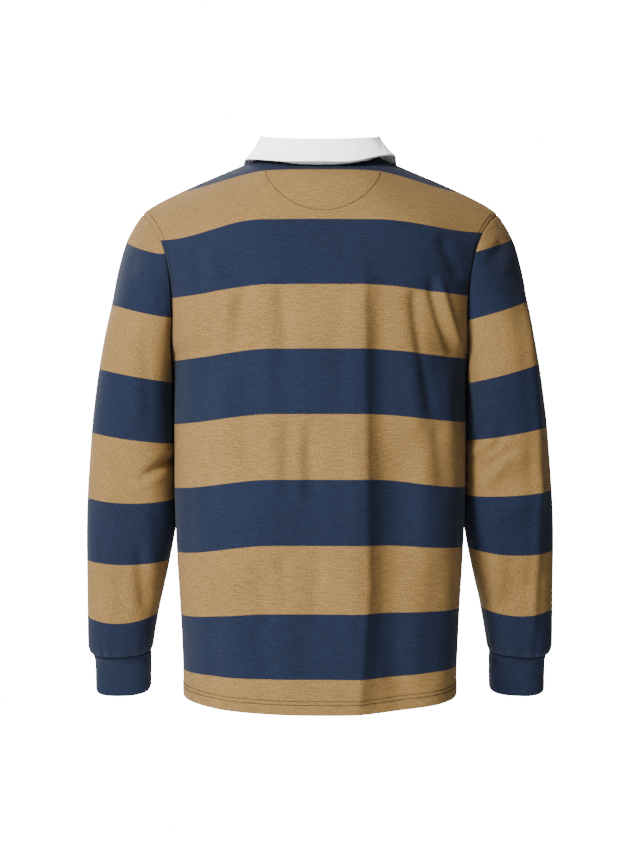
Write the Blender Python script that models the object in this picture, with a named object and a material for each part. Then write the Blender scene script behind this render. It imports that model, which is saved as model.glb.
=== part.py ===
"""A long-sleeved polo shirt, filled out as if it were worn, made piece by piece as it is cut and sewn.

Metres, +Z up. The shirt faces -Y, and its wearer's left is at +X. The origin is the middle of the neck
opening, at the height where the shoulder seams meet the collar.

Every piece of cloth is a wall: a grid is laid on the outside of the cloth, and its inside is the same grid
moved in by the cloth's thickness. Neighbouring pieces share their seam line, with a small gap between them.
"""
import math
from collections import namedtuple

import bmesh
import bpy
from mathutils import Vector

COLLECTION = "polo_shirt"

# Steps for slopes and seam lines, as shares of a form
SLOPE_STEP = 0.004
SEAM_STEP = 0.02
COLLAR_STEP = 0.01
RING_AHEAD = 0.03

# Corners closer than this are one, and edges bent by more than this many degrees are sharp
MERGE_DISTANCE = 0.00002
SHARP_ANGLE = 40

# Height of a point inside the chest, from which a panel's outside is told
CHEST_HEIGHT = -0.25

# Cloth
JERSEY_WALL = 0.0018
RIB_WALL = 0.0022
COLLAR_WALL = 0.0020
BAND_WALL = 0.0016
SEAM_GAP = 0.0003

# Where a panel's rows and columns change from one kind of edge to the next, as shares of the panel
UNDERARM_UP = 0.50
NECK_POINT_ACROSS = 0.60
YOKE_UP = 0.84

# Folds fade out near the panels' seams, past their own ends and where the sleeve lies on the body
CREASE_FADE = 0.16
CREASE_RUN_OUT = 0.15
SLEEVE_FOLDS_FROM_X = 0.215
SLEEVE_FOLDS_FADE = 0.030

# Shoulder and collar
SHOULDER_BOW = 0.0064
SHOULDER_BOW_POWER = 0.5
COLLAR_FOLD_RADIUS = 0.0032
COLLAR_SEAT = 0.0008
STAND_TURN_SHARE = 1 / 3
FALL_HOLLOW = 0.0015

# Slit, placket bands and buttons, with their places as shares of the way up the front
SLIT_UP = 0.58
SLIT_HALF_WIDTH = 0.0145
UNDER_BAND_BOTTOM_UP = 0.584
UNDER_BAND_TOP_UP = 0.999
OVER_BAND_HALF_WIDTH = 0.0180
OVER_BAND_BOTTOM_UP = 0.556
OVER_BAND_TOP_UP = 0.982
BUTTON_UPS = [0.640, 0.785, 0.930]
BUTTON_RADIUS = 0.0065
BUTTON_TOP_RADIUS = 0.0058
BUTTON_THICKNESS = 0.0028
BUTTON_SIDES = 20

SeamPoint = namedtuple("SeamPoint", "up x y z")
RowShape = namedtuple("RowShape", "up lead_x lead_y lead_z middle_y middle_z middle_lead")
CollarStation = namedtuple("CollarStation", "round fold_x fold_y fold_z edge_x edge_y edge_z")
NeckStation = namedtuple("NeckStation", "round x y z")
Ring = namedtuple("Ring", "along out_x out_z in_x in_z middle_y behind before tilt")
Crease = namedtuple("Crease", "x0 z0 x1 z1 width height")

# Side seam, from the hem up to the underarm
SIDE_SEAM = [
    SeamPoint(0.000, 0.1850, 0.000, -0.7200),
    SeamPoint(0.044, 0.1858, 0.000, -0.6800),
    SeamPoint(0.120, 0.1890, 0.000, -0.6100),
    SeamPoint(0.218, 0.1945, 0.000, -0.5200),
    SeamPoint(0.306, 0.1972, 0.000, -0.4400),
    SeamPoint(0.404, 0.1980, 0.000, -0.3500),
    SeamPoint(0.469, 0.1988, -0.002, -0.2900),
    SeamPoint(0.500, 0.2020, -0.004, -0.2620),
]

# Armhole, from the underarm up to the shoulder tip
ARMHOLE = {
    "back": [
        SeamPoint(0.500, 0.2020, -0.0040, -0.2620),
        SeamPoint(0.575, 0.1990, 0.0340, -0.2470),
        SeamPoint(0.660, 0.1968, 0.0640, -0.2120),
        SeamPoint(0.750, 0.1985, 0.0755, -0.1680),
        SeamPoint(0.830, 0.2050, 0.0730, -0.1330),
        SeamPoint(0.900, 0.2155, 0.0570, -0.1040),
        SeamPoint(0.955, 0.2290, 0.0300, -0.0820),
        SeamPoint(1.000, 0.2414, 0.0000, -0.0690),
    ],
    "front": [
        SeamPoint(0.500, 0.2020, -0.0040, -0.2620),
        SeamPoint(0.575, 0.1985, -0.0400, -0.2470),
        SeamPoint(0.660, 0.1950, -0.0700, -0.2100),
        SeamPoint(0.750, 0.1945, -0.0820, -0.1660),
        SeamPoint(0.830, 0.2000, -0.0790, -0.1310),
        SeamPoint(0.900, 0.2125, -0.0610, -0.1020),
        SeamPoint(0.955, 0.2275, -0.0320, -0.0810),
        SeamPoint(1.000, 0.2414, 0.0000, -0.0690),
    ],
}

# How each row leaves its edge (lead) and where it crosses the middle of the panel
ROWS = {
    "back": [
        RowShape(0.000, 0.000, 0.094, 0.000, 0.1380, -0.7330, 0.112),
        RowShape(0.120, 0.000, 0.095, 0.000, 0.1395, -0.6150, 0.114),
        RowShape(0.218, 0.000, 0.097, 0.000, 0.1420, -0.5200, 0.118),
        RowShape(0.306, 0.000, 0.099, 0.000, 0.1445, -0.4400, 0.120),
        RowShape(0.404, 0.000, 0.098, 0.000, 0.1480, -0.3450, 0.121),
        RowShape(0.500, -0.001, 0.084, 0.002, 0.1500, -0.2530, 0.124),
        RowShape(0.575, -0.004, 0.066, 0.007, 0.1490, -0.2160, 0.126),
        RowShape(0.660, -0.011, 0.049, 0.013, 0.1465, -0.1780, 0.128),
        RowShape(0.750, -0.022, 0.038, 0.018, 0.1405, -0.1340, 0.128),
        RowShape(0.830, -0.035, 0.030, 0.024, 0.1300, -0.0930, 0.125),
        RowShape(0.900, -0.048, 0.022, 0.026, 0.1130, -0.0550, 0.105),
        RowShape(0.955, -0.055, 0.012, 0.027, 0.0920, -0.0250, 0.080),
        RowShape(1.000, -0.055, 0.000, 0.026, 0.0660, -0.0080, 0.050),
    ],
    "front": [
        RowShape(0.000, 0.000, -0.088, 0.000, -0.1300, -0.7300, 0.100),
        RowShape(0.120, 0.000, -0.089, 0.000, -0.1320, -0.6120, 0.102),
        RowShape(0.218, 0.000, -0.091, 0.000, -0.1340, -0.5200, 0.105),
        RowShape(0.306, 0.000, -0.093, 0.000, -0.1360, -0.4400, 0.107),
        RowShape(0.404, 0.000, -0.090, 0.000, -0.1380, -0.3480, 0.108),
        RowShape(0.500, -0.001, -0.076, 0.002, -0.1390, -0.2650, 0.109),
        RowShape(0.575, -0.005, -0.059, 0.006, -0.1380, -0.2330, 0.110),
        RowShape(0.660, -0.013, -0.043, 0.010, -0.1360, -0.2030, 0.112),
        RowShape(0.750, -0.026, -0.030, 0.012, -0.1310, -0.1700, 0.112),
        RowShape(0.830, -0.038, -0.022, 0.015, -0.1240, -0.1380, 0.105),
        RowShape(0.900, -0.048, -0.016, 0.020, -0.1160, -0.1100, 0.090),
        RowShape(0.955, -0.055, -0.009, 0.025, -0.1070, -0.0880, 0.065),
        RowShape(1.000, -0.055, 0.000, 0.026, -0.0980, -0.0705, 0.040),
    ],
}

# Neckline, from the middle of the back (0) past the shoulder seam (0.5) to the slit (1) and the middle (1.1)
NECKLINE = [
    NeckStation(0.00, 0.0000, 0.0660, -0.0080),
    NeckStation(0.17, 0.0330, 0.0600, -0.0060),
    NeckStation(0.34, 0.0625, 0.0395, 0.0010),
    NeckStation(0.50, 0.0800, 0.0000, 0.0090),
    NeckStation(0.66, 0.0750, -0.0390, -0.0130),
    NeckStation(0.80, 0.0560, -0.0720, -0.0420),
    NeckStation(0.90, 0.0345, -0.0900, -0.0600),
    NeckStation(1.00, 0.0145, -0.0980, -0.0705),
    NeckStation(1.10, 0.0000, -0.0990, -0.0720),
]

# Collar, from the middle of the back to its front end: the top of its fold, and its loose edge
COLLAR = [
    CollarStation(0.00, 0.0000, 0.0600, 0.0270, 0.0000, 0.0885, -0.0080),
    CollarStation(0.17, 0.0340, 0.0540, 0.0280, 0.0470, 0.0800, -0.0065),
    CollarStation(0.34, 0.0640, 0.0350, 0.0320, 0.0855, 0.0480, 0.0015),
    CollarStation(0.42, 0.0745, 0.0180, 0.0345, 0.0975, 0.0250, 0.0045),
    CollarStation(0.50, 0.0800, -0.0020, 0.0370, 0.1035, 0.0000, 0.0045),
    CollarStation(0.66, 0.0790, -0.0420, 0.0160, 0.1060, -0.0480, -0.0150),
    CollarStation(0.80, 0.0600, -0.0780, -0.0120, 0.0980, -0.0880, -0.0530),
    CollarStation(0.90, 0.0370, -0.0970, -0.0300, 0.0840, -0.1090, -0.0850),
    CollarStation(1.00, 0.0150, -0.1070, -0.0400, 0.0680, -0.1230, -0.1120),
    CollarStation(1.08, 0.0040, -0.1090, -0.0430, 0.0580, -0.1290, -0.1250),
]

# Left sleeve, from the armhole to its end: the ring's outer and inner point as seen from behind, the middle
# of its depth, its half depths behind and before that, and how far it tilts forward in degrees
SLEEVE = [
    Ring(0.000, 0.2414, -0.0690, 0.2020, -0.2620, 0.000, 0.0760, 0.0780, 0),
    Ring(0.030, 0.2525, -0.0855, 0.2075, -0.2660, 0.000, 0.0790, 0.0800, 0),
    Ring(0.060, 0.2635, -0.1065, 0.2095, -0.2740, -0.001, 0.0810, 0.0815, 0),
    Ring(0.110, 0.2745, -0.1450, 0.2085, -0.2890, -0.001, 0.0820, 0.0825, 0),
    Ring(0.170, 0.2832, -0.1900, 0.2070, -0.3080, -0.002, 0.0825, 0.0825, 1),
    Ring(0.235, 0.2920, -0.2350, 0.2055, -0.3300, -0.003, 0.0825, 0.0820, 2),
    Ring(0.305, 0.3000, -0.2790, 0.2045, -0.3550, -0.005, 0.0815, 0.0810, 3),
    Ring(0.375, 0.3060, -0.3220, 0.2035, -0.3840, -0.008, 0.0800, 0.0790, 4),
    Ring(0.450, 0.3106, -0.3650, 0.2030, -0.4150, -0.012, 0.0780, 0.0760, 6),
    Ring(0.605, 0.3175, -0.4530, 0.2015, -0.4800, -0.022, 0.0710, 0.0680, 8),
    Ring(0.755, 0.3203, -0.5390, 0.2095, -0.5450, -0.037, 0.0620, 0.0590, 10),
    Ring(0.905, 0.3209, -0.6170, 0.2235, -0.6150, -0.054, 0.0530, 0.0500, 11),
    Ring(0.970, 0.3212, -0.6550, 0.2300, -0.6500, -0.062, 0.0470, 0.0460, 12),
    Ring(0.988, 0.3192, -0.6640, 0.2318, -0.6590, -0.065, 0.0430, 0.0430, 13),
    Ring(1.000, 0.3142, -0.6680, 0.2352, -0.6630, -0.066, 0.0340, 0.0340, 14),
]
CUFF = [
    Ring(0.000, 0.3142, -0.6680, 0.2352, -0.6630, -0.066, 0.0340, 0.0340, 14),
    Ring(0.250, 0.3128, -0.6810, 0.2346, -0.6770, -0.071, 0.0305, 0.0305, 16),
    Ring(0.600, 0.3130, -0.7000, 0.2352, -0.6970, -0.080, 0.0295, 0.0295, 18),
    Ring(1.000, 0.3135, -0.7205, 0.2362, -0.7180, -0.089, 0.0290, 0.0290, 21),
]
CAP_FADE = 0.24

# The largest folds, each a line as seen from behind, with the height of its ridge or, below 0, its trough
CREASES = {
    "back": [
        Crease(-0.052, -0.150, -0.050, -0.735, 0.020, 0.0045),
        Crease(-0.088, -0.180, -0.090, -0.735, 0.026, -0.0060),
        Crease(0.112, -0.185, 0.150, -0.300, 0.022, -0.0045),
        Crease(0.060, -0.180, 0.050, -0.320, 0.020, -0.0030),
        Crease(-0.125, -0.180, -0.165, -0.300, 0.022, -0.0045),
        Crease(0.115, -0.540, 0.120, -0.735, 0.024, 0.0035),
        Crease(0.020, -0.400, 0.015, -0.735, 0.022, -0.0030),
    ],
    "front": [
        Crease(0.085, -0.250, 0.075, -0.730, 0.026, -0.0050),
        Crease(0.120, -0.300, 0.118, -0.730, 0.022, 0.0035),
        Crease(-0.070, -0.280, -0.060, -0.730, 0.026, -0.0050),
        Crease(-0.125, -0.330, -0.120, -0.730, 0.022, 0.0035),
    ],
    "sleeve": [
        Crease(0.292, -0.405, 0.228, -0.450, 0.018, -0.0035),
        Crease(0.292, -0.450, 0.228, -0.480, 0.018, 0.0030),
        Crease(0.295, -0.560, 0.235, -0.600, 0.018, -0.0030),
    ],
}

# Grid lines of the panels
SHOULDER_COLUMNS = [0.0, 0.02, 0.10, 0.20, 0.30, 0.40, 0.50, 0.60]
NECK_COLUMNS = [0.67, 0.74, 0.81, 0.88, 0.94, 1.0]
COLUMNS = SHOULDER_COLUMNS + NECK_COLUMNS
LOWER_ROWS = [0.0, 0.012, 0.06, 0.11, 0.16, 0.21, 0.26, 0.31, 0.36, 0.41, 0.46]
UPPER_ROWS = [0.50, 0.54, 0.58, 0.63, 0.68, 0.73, 0.78, 0.83, 0.88, 0.93, 0.97, 1.0]
PANEL_ROWS = LOWER_ROWS + UPPER_ROWS
SLEEVE_ROWS = [0.0, 0.02, 0.05, 0.09, 0.13, 0.18, 0.24, 0.30, 0.36, 0.42, 0.48, 0.54, 0.61, 0.68, 0.75,
               0.82, 0.89, 0.945, 0.98, 1.0]
CUFF_ROWS = [0.0, 0.10, 0.40, 0.70, 1.0]
STAND_STEPS = [0.0, 0.35, 0.70]
FALL_STEPS = [0.30, 0.65, 1.0]
BAND_COLUMNS = [-1.0, -0.5, 0.0, 0.5, 1.0]

# Colours and roughness
TAN = (0.445, 0.290, 0.125)
NAVY = (0.027, 0.051, 0.107)
WHITE = (0.860, 0.880, 0.900)
RUBBER = (0.800, 0.780, 0.720)
CLOTH_ROUGHNESS = 0.85
RUBBER_ROUGHNESS = 0.5


def read(table, column, at):
    """Return a column of a table at one place, on a smooth curve through the table's rows."""
    places = [row[0] for row in table]
    at = min(max(at, places[0]), places[-1])
    low = max(i for i in range(len(table) - 1) if places[i] <= at)

    def slope(i):
        before = max(i - 1, 0)
        after = min(i + 1, len(table) - 1)
        rise = getattr(table[after], column) - getattr(table[before], column)
        return rise / (places[after] - places[before])

    span = places[low + 1] - places[low]
    t = (at - places[low]) / span
    start = getattr(table[low], column)
    end = getattr(table[low + 1], column)
    bend_start = slope(low) * span
    bend_end = slope(low + 1) * span
    value = start * (2 * t ** 3 - 3 * t ** 2 + 1) + end * (3 * t ** 2 - 2 * t ** 3)
    return value + bend_start * (t ** 3 - 2 * t ** 2 + t) + bend_end * (t ** 3 - t ** 2)


def read_point(table, at, prefix=""):
    """Return the point whose x, y and z columns start with the prefix."""
    return Vector([read(table, prefix + axis, at) for axis in "xyz"])


def ease(t):
    """Go smoothly from 0 to 1."""
    t = min(max(t, 0.0), 1.0)
    return t * t * (3 - 2 * t)


def bezier(a, b, c, d, t):
    """Return a point of a cubic Bezier curve."""
    s = 1 - t
    return a * s ** 3 + b * (3 * s * s * t) + c * (3 * s * t * t) + d * t ** 3


def crease_height(creases, point):
    """Return how far the cloth stands out at a point, from all the folds near it."""
    total = 0.0
    for crease in creases:
        start = Vector((crease.x0, crease.z0))
        run = Vector((crease.x1, crease.z1)) - start
        here = Vector((point.x, point.z)) - start
        share = here.dot(run) / run.length_squared
        aside = abs(run.x * here.y - run.y * here.x) / run.length
        past_start = ease((share + CREASE_RUN_OUT) / (2 * CREASE_RUN_OUT))
        before_end = ease((1.0 - share + CREASE_RUN_OUT) / (2 * CREASE_RUN_OUT))
        total += crease.height * math.exp(-(aside / crease.width) ** 2) * past_start * before_end
    return total


def edge_point(side, up):
    """Return the left outer edge of a panel: the side seam, then the armhole."""
    if up <= UNDERARM_UP:
        return read_point(SIDE_SEAM, up)
    return read_point(ARMHOLE[side], up)


def top_point(side, across):
    """Return the left top edge of a panel: the shoulder seam, then the neckline."""
    if across <= NECK_POINT_ACROSS:
        share = across / NECK_POINT_ACROSS
        tip = read_point(ARMHOLE[side], 1.0)
        point = tip.lerp(read_point(NECKLINE, 0.5), share)
        point.z += SHOULDER_BOW * math.sin(math.pi * share ** SHOULDER_BOW_POWER)
        return point
    return read_point(NECKLINE, neck_round(side, across))


def neck_round(side, across):
    """Return the place round the neckline where a panel's column meets it."""
    share = (across - NECK_POINT_ACROSS) / (1 - NECK_POINT_ACROSS)
    return 0.5 - 0.5 * share if side == "back" else 0.5 + 0.5 * share


def row_form(side, across, up):
    """Return a point of a panel's smooth row; across runs from its edge (0) to its middle (1)."""
    rows = ROWS[side]
    edge = edge_point(side, up)
    lead = edge + read_point(rows, up, "lead_")
    middle_x = 0.0 if side == "back" else SLIT_HALF_WIDTH
    middle = Vector((middle_x, read(rows, "middle_y", up), read(rows, "middle_z", up)))
    middle_lead = middle + Vector((read(rows, "middle_lead", up), 0.0, 0.0))
    return bezier(edge, lead, middle_lead, middle, across)


def panel_form(side, across, up):
    """Return the outside of a panel's left half, whose top row bends to the shoulder seam and neckline."""
    top_error = top_point(side, across) - row_form(side, across, 1.0)
    return row_form(side, across, up) + top_error * ease((up - YOKE_UP) / (1 - YOKE_UP))


def slope_normal(form, first, second, outwards):
    """Return the normal of a form of two shares, turned to the side that outwards points to."""
    a = form(min(first + SLOPE_STEP, 1.0), second) - form(max(first - SLOPE_STEP, 0.0), second)
    b = form(first, min(second + SLOPE_STEP, 1.0)) - form(first, max(second - SLOPE_STEP, 0.0))
    normal = a.cross(b).normalized()
    return normal if normal.dot(outwards) > 0 else -normal


def panel_own_normal(side, across, up):
    """Return the outward normal of a panel, without regard to its neighbours."""
    outwards = panel_form(side, across, up) - Vector((0.0, 0.0, CHEST_HEIGHT))
    normal = slope_normal(lambda a, b: panel_form(side, a, b), across, up, outwards)
    if across == 1.0:
        normal.x = 0.0
    return normal.normalized()


def panel_normal(side, across, up):
    """Return the outward normal of a panel, shared with the pieces sewn to it at a seam."""
    normal = panel_own_normal(side, across, up)
    at_shoulder_seam = up == 1.0 and across <= NECK_POINT_ACROSS
    at_side_seam = across == 0.0 and up <= UNDERARM_UP
    if at_shoulder_seam or at_side_seam:
        other = "front" if side == "back" else "back"
        normal = normal + panel_own_normal(other, across, up)
    if across == 0.0 and up >= UNDERARM_UP:
        normal = normal.normalized() + sleeve_own_normal(0.0, armhole_turn(side, up))
    return normal.normalized()


def seam_inset(away, seam_run):
    """Return half the seam gap, square to the seam, on the side that away points to."""
    along_seam = seam_run.normalized()
    square = away - along_seam * away.dot(along_seam)
    return square.normalized() * (SEAM_GAP / 2)


def panel_point(side, across, up, mirrored):
    """Return a point of a panel, with its folds and with the gap at its seams."""
    point = panel_form(side, across, up)
    inset = Vector((0.0, 0.0, 0.0))
    if across == 0.0:
        above = edge_point(side, min(up + SEAM_STEP, 1.0))
        below = edge_point(side, max(up - SEAM_STEP, 0.0))
        inset += seam_inset(panel_form(side, SEAM_STEP, up) - point, above - below)
    if up == 1.0:
        ahead = top_point(side, min(across + SEAM_STEP, 1.0))
        behind = top_point(side, max(across - SEAM_STEP, 0.0))
        inset += seam_inset(panel_form(side, across, 1.0 - SEAM_STEP) - point, ahead - behind)
    hand = -1.0 if mirrored else 1.0
    place = Vector((point.x * hand, point.y, point.z))
    fade = ease(across / CREASE_FADE) * ease((1.0 - up) / CREASE_FADE)
    fold = crease_height(CREASES[side], place) * fade
    return point + inset + panel_normal(side, across, up) * fold


def armhole_turn(side, up):
    """Return the turn round a sleeve: 0 at the shoulder, 1 at the underarm behind, -1 at the underarm before."""
    turn = (1.0 - up) / (1.0 - UNDERARM_UP)
    return turn if side == "back" else -turn


def armhole_point(turn):
    """Return a point of the armhole."""
    side = "back" if turn >= 0 else "front"
    return read_point(ARMHOLE[side], 1.0 - abs(turn) * (1.0 - UNDERARM_UP))


def ring_point(table, along, turn):
    """Return a point of an oval ring of a sleeve or cuff."""
    outer = Vector((read(table, "out_x", along), 0.0, read(table, "out_z", along)))
    inner = Vector((read(table, "in_x", along), 0.0, read(table, "in_z", along)))
    middle = (outer + inner) / 2 + Vector((0.0, read(table, "middle_y", along), 0.0))
    tilt = math.radians(read(table, "tilt", along))
    depth = read(table, "behind" if turn >= 0 else "before", along)
    backward = Vector((0.0, math.cos(tilt), -math.sin(tilt))) * depth
    angle = math.pi * turn
    return middle + (outer - inner) / 2 * math.cos(angle) + backward * math.sin(angle)


def sleeve_form(along, turn):
    """Return the outside of the left sleeve; it starts on the armhole and soon becomes oval."""
    oval = ring_point(SLEEVE, along, turn)
    start_error = armhole_point(turn) - ring_point(SLEEVE, 0.0, turn)
    return oval + start_error * (1 - ease(along / CAP_FADE))


def round_run(form, along, turn):
    """Return the way round a tube, whose turns 1 and -1 are the same line."""
    if abs(turn) == 1.0:
        return form(along, -1.0 + SLOPE_STEP) - form(along, 1.0 - SLOPE_STEP)
    return form(along, turn + SLOPE_STEP) - form(along, turn - SLOPE_STEP)


def tube_normal(form, middle, along, turn):
    """Return the outward normal of a tube."""
    a = form(min(along + SLOPE_STEP, 1.0), turn) - form(max(along - SLOPE_STEP, 0.0), turn)
    normal = a.cross(round_run(form, along, turn)).normalized()
    return normal if normal.dot(form(along, turn) - middle) > 0 else -normal


def sleeve_own_normal(along, turn):
    """Return the outward normal of the sleeve, without regard to its neighbours."""
    ahead = min(along + RING_AHEAD, 1.0)
    middle = (ring_point(SLEEVE, ahead, 0.0) + ring_point(SLEEVE, ahead, 1.0)) / 2
    return tube_normal(sleeve_form, middle, along, turn)


def cuff_form(along, turn):
    """Return the outside of the left cuff."""
    return ring_point(CUFF, along, turn)


def cuff_own_normal(along, turn):
    """Return the outward normal of the cuff, without regard to its neighbours."""
    middle = (cuff_form(along, 0.0) + cuff_form(along, 1.0)) / 2
    return tube_normal(cuff_form, middle, along, turn)


def sleeve_normal(along, turn):
    """Return the outward normal of the sleeve, shared with the pieces sewn to it at a seam."""
    normal = sleeve_own_normal(along, turn)
    if along == 0.0:
        side = "back" if turn >= 0 else "front"
        up = 1.0 - abs(turn) * (1.0 - UNDERARM_UP)
        return panel_normal(side, 0.0, up)
    if along == 1.0:
        normal = normal + cuff_own_normal(0.0, turn)
    return normal.normalized()


def cuff_normal(along, turn):
    """Return the outward normal of the cuff, shared with the sleeve at their seam."""
    if along == 0.0:
        return sleeve_normal(1.0, turn)
    return cuff_own_normal(along, turn)


def sleeve_point(along, turn):
    """Return a point of the sleeve, with its folds and with the gap at its seams."""
    point = sleeve_form(along, turn)
    inset = Vector((0.0, 0.0, 0.0))
    if along in (0.0, 1.0):
        beside = sleeve_form(SEAM_STEP, turn) if along == 0.0 else sleeve_form(1.0 - SEAM_STEP, turn)
        inset = seam_inset(beside - point, round_run(sleeve_form, along, turn))
    clear_of_body = ease((point.x - SLEEVE_FOLDS_FROM_X) / SLEEVE_FOLDS_FADE)
    fold = crease_height(CREASES["sleeve"], point) * clear_of_body
    return point + inset + sleeve_normal(along, turn) * fold


def cuff_point(along, turn):
    """Return a point of the cuff, with the gap at its seam."""
    point = cuff_form(along, turn)
    if along == 0.0:
        point = point + (cuff_form(SEAM_STEP, turn) - point).normalized() * (SEAM_GAP / 2)
    return point


def new_material(name, colour, roughness):
    """Make a plain finish."""
    material = bpy.data.materials.new(name)
    material.use_nodes = True
    shader = material.node_tree.nodes["Principled BSDF"]
    shader.inputs["Base Color"].default_value = (*colour, 1.0)
    shader.inputs["Roughness"].default_value = roughness
    shader.inputs["Metallic"].default_value = 0.0
    return material


def new_object(name, mesh, material, collection):
    """Turn a finished bmesh into a named object."""
    data = bpy.data.meshes.new(name)
    mesh.to_mesh(data)
    mesh.free()
    data.materials.append(material)
    data.shade_smooth()
    data.set_sharp_from_angle(angle=math.radians(SHARP_ANGLE))
    result = bpy.data.objects.new(name, data)
    collection.objects.link(result)
    return result


def cloth_wall(columns, rows, outside, inside, closed=False, cut=None):
    """Make a closed wall from a grid, whose corners (i, j) lie at outside(i, j) and inside(i, j).

    A closed wall is a tube: its first and last columns are one. cut(i, j) says which faces are left out.
    """
    mesh = bmesh.new()
    bmesh.ops.create_grid(mesh, x_segments=columns, y_segments=rows, size=0.5)

    def grid_place(corner):
        return round((corner.x + 0.5) * columns), round((corner.y + 0.5) * rows)

    if cut:
        gone = []
        for face in mesh.faces:
            middle = face.calc_center_median()
            i = math.floor((middle.x + 0.5) * columns)
            j = math.floor((middle.y + 0.5) * rows)
            if cut(i, j):
                gone.append(face)
        bmesh.ops.delete(mesh, geom=gone, context="FACES")
    places = {vert: grid_place(vert.co) for vert in mesh.verts}
    outer = set(mesh.verts)
    bmesh.ops.extrude_face_region(mesh, geom=mesh.faces[:], use_keep_orig=True)
    places.update({vert: grid_place(vert.co) for vert in mesh.verts if vert not in outer})
    if closed:
        ends = [face for face in mesh.faces
                if all(places[vert][0] == 0 for vert in face.verts)
                or all(places[vert][0] == columns for vert in face.verts)]
        bmesh.ops.delete(mesh, geom=ends, context="FACES")
    for vert, (i, j) in places.items():
        vert.co = outside(i, j) if vert in outer else inside(i, j)
    bmesh.ops.remove_doubles(mesh, verts=mesh.verts, dist=MERGE_DISTANCE)
    bmesh.ops.recalc_face_normals(mesh, faces=mesh.faces)
    return mesh


def build_panel(side, middle_strips, cut, material, collection):
    """Make the back or the front: two mirrored halves, with a number of strips of columns between them."""
    half = len(COLUMNS) - 1
    width = 2 * half + middle_strips

    def place(i, j, depth):
        mirrored = i > half
        across = COLUMNS[width - i] if mirrored else COLUMNS[i]
        up = PANEL_ROWS[j]
        point = panel_point(side, across, up, mirrored) - panel_normal(side, across, up) * depth
        return Vector((-point.x, point.y, point.z)) if mirrored else point

    mesh = cloth_wall(width, len(PANEL_ROWS) - 1,
                      lambda i, j: place(i, j, 0.0), lambda i, j: place(i, j, JERSEY_WALL), cut=cut)
    return new_object(side, mesh, material, collection)


def in_slit(i, j):
    """Tell whether a face of the front's grid lies in the slit, which the strip at its middle has."""
    return i == len(COLUMNS) - 1 and PANEL_ROWS[j] >= SLIT_UP


def build_tube(name, table_rows, point, normal, wall, hand, material, collection):
    """Make a sleeve or a cuff; its columns match the rows of the panels at the armhole."""
    turns = [armhole_turn("front", up) for up in UPPER_ROWS]
    turns += [armhole_turn("back", up) for up in reversed(UPPER_ROWS[:-1])]

    def place(i, j, depth):
        result = point(table_rows[j], turns[i]) - normal(table_rows[j], turns[i]) * depth
        return Vector((result.x * hand, result.y, result.z))

    mesh = cloth_wall(len(turns) - 1, len(table_rows) - 1,
                      lambda i, j: place(i, j, 0.0), lambda i, j: place(i, j, wall), closed=True)
    return new_object(name, mesh, material, collection)


def collar_profile(place):
    """Return the collar's section at a place round the neck, as pairs of a point and its outward way."""
    fold = read_point(COLLAR, place, "fold_")
    edge = read_point(COLLAR, place, "edge_")
    before = max(place - COLLAR_STEP, 0.0)
    after = place + COLLAR_STEP
    run = read_point(COLLAR, after, "fold_") - read_point(COLLAR, before, "fold_")
    away = Vector((-run.y, run.x, 0.0)).normalized()
    if place == 0.0:
        away = Vector((0.0, 1.0, 0.0))
    if away.dot(edge - fold) < 0:
        away.negate()
    side = "back" if place <= 0.5 else "front"
    share = min(abs(place - 0.5) / 0.5, 1.0)
    across = NECK_POINT_ACROSS + (1 - NECK_POINT_ACROSS) * share
    seat_up = panel_normal(side, across, 1.0)
    round_neck = read_point(NECKLINE, after) - read_point(NECKLINE, before)
    seat_out = seat_up.cross(round_neck).normalized()
    if seat_out.dot(away) < 0:
        seat_out.negate()
    seat = read_point(NECKLINE, place) + seat_up * COLLAR_SEAT
    drop = Vector((0.0, 0.0, -COLLAR_FOLD_RADIUS))
    stand_top = fold + drop - away * COLLAR_FOLD_RADIUS
    fall_top = fold + drop + away * COLLAR_FOLD_RADIUS
    section = []
    for t in STAND_STEPS:
        way = seat_out.lerp(away, ease(t / STAND_TURN_SHARE)).normalized()
        section.append((seat.lerp(stand_top, t), way))
    section.append((stand_top, away))
    section.append((fold, Vector((0.0, 0.0, 1.0))))
    section.append((fall_top, away))
    fall_way = (edge - fall_top).cross(run).normalized()
    if fall_way.dot(away) < 0:
        fall_way.negate()
    for t in FALL_STEPS:
        hollow = FALL_HOLLOW * math.sin(math.pi * t)
        section.append((fall_top.lerp(edge, t) - fall_way * hollow, fall_way))
    return section


def build_collar(material, collection):
    """Make the collar: it stands up from the neckline, folds over and falls to its loose edge."""
    rounds = [neck_round("back", across) for across in reversed([NECK_POINT_ACROSS] + NECK_COLUMNS)]
    rounds += [neck_round("front", across) for across in NECK_COLUMNS]
    rounds += [COLLAR[-1].round]
    sections = [collar_profile(place) for place in rounds]
    half = len(rounds) - 1
    fold_row = len(STAND_STEPS) + 1

    def place(i, j, depth):
        mirrored = i > half
        point, way = sections[i - half if mirrored else half - i][j]
        # The grid lies on the neck side of the stand, so the stand's thickness goes outwards from it
        point = point + way * (depth if j < fold_row else -depth)
        return Vector((-point.x, point.y, point.z)) if mirrored else point

    mesh = cloth_wall(2 * half, len(sections[0]) - 1,
                      lambda i, j: place(i, j, 0.0), lambda i, j: place(i, j, COLLAR_WALL))
    return new_object("collar", mesh, material, collection)


def band_point(x, up, lift):
    """Return a point in front of the middle of the front, moved out by lift."""
    base = panel_form("front", 1.0, up)
    normal = panel_own_normal("front", 1.0, up)
    return Vector((x, base.y, base.z)) + normal * lift


def build_band(name, half_width, rows, lift, material, collection):
    """Make a placket band, a strip that follows the middle of the front."""
    def place(i, j, depth):
        return band_point(BAND_COLUMNS[i] * half_width, rows[j], lift - depth)

    mesh = cloth_wall(len(BAND_COLUMNS) - 1, len(rows) - 1,
                      lambda i, j: place(i, j, 0.0), lambda i, j: place(i, j, BAND_WALL))
    return new_object(name, mesh, material, collection)


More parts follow.
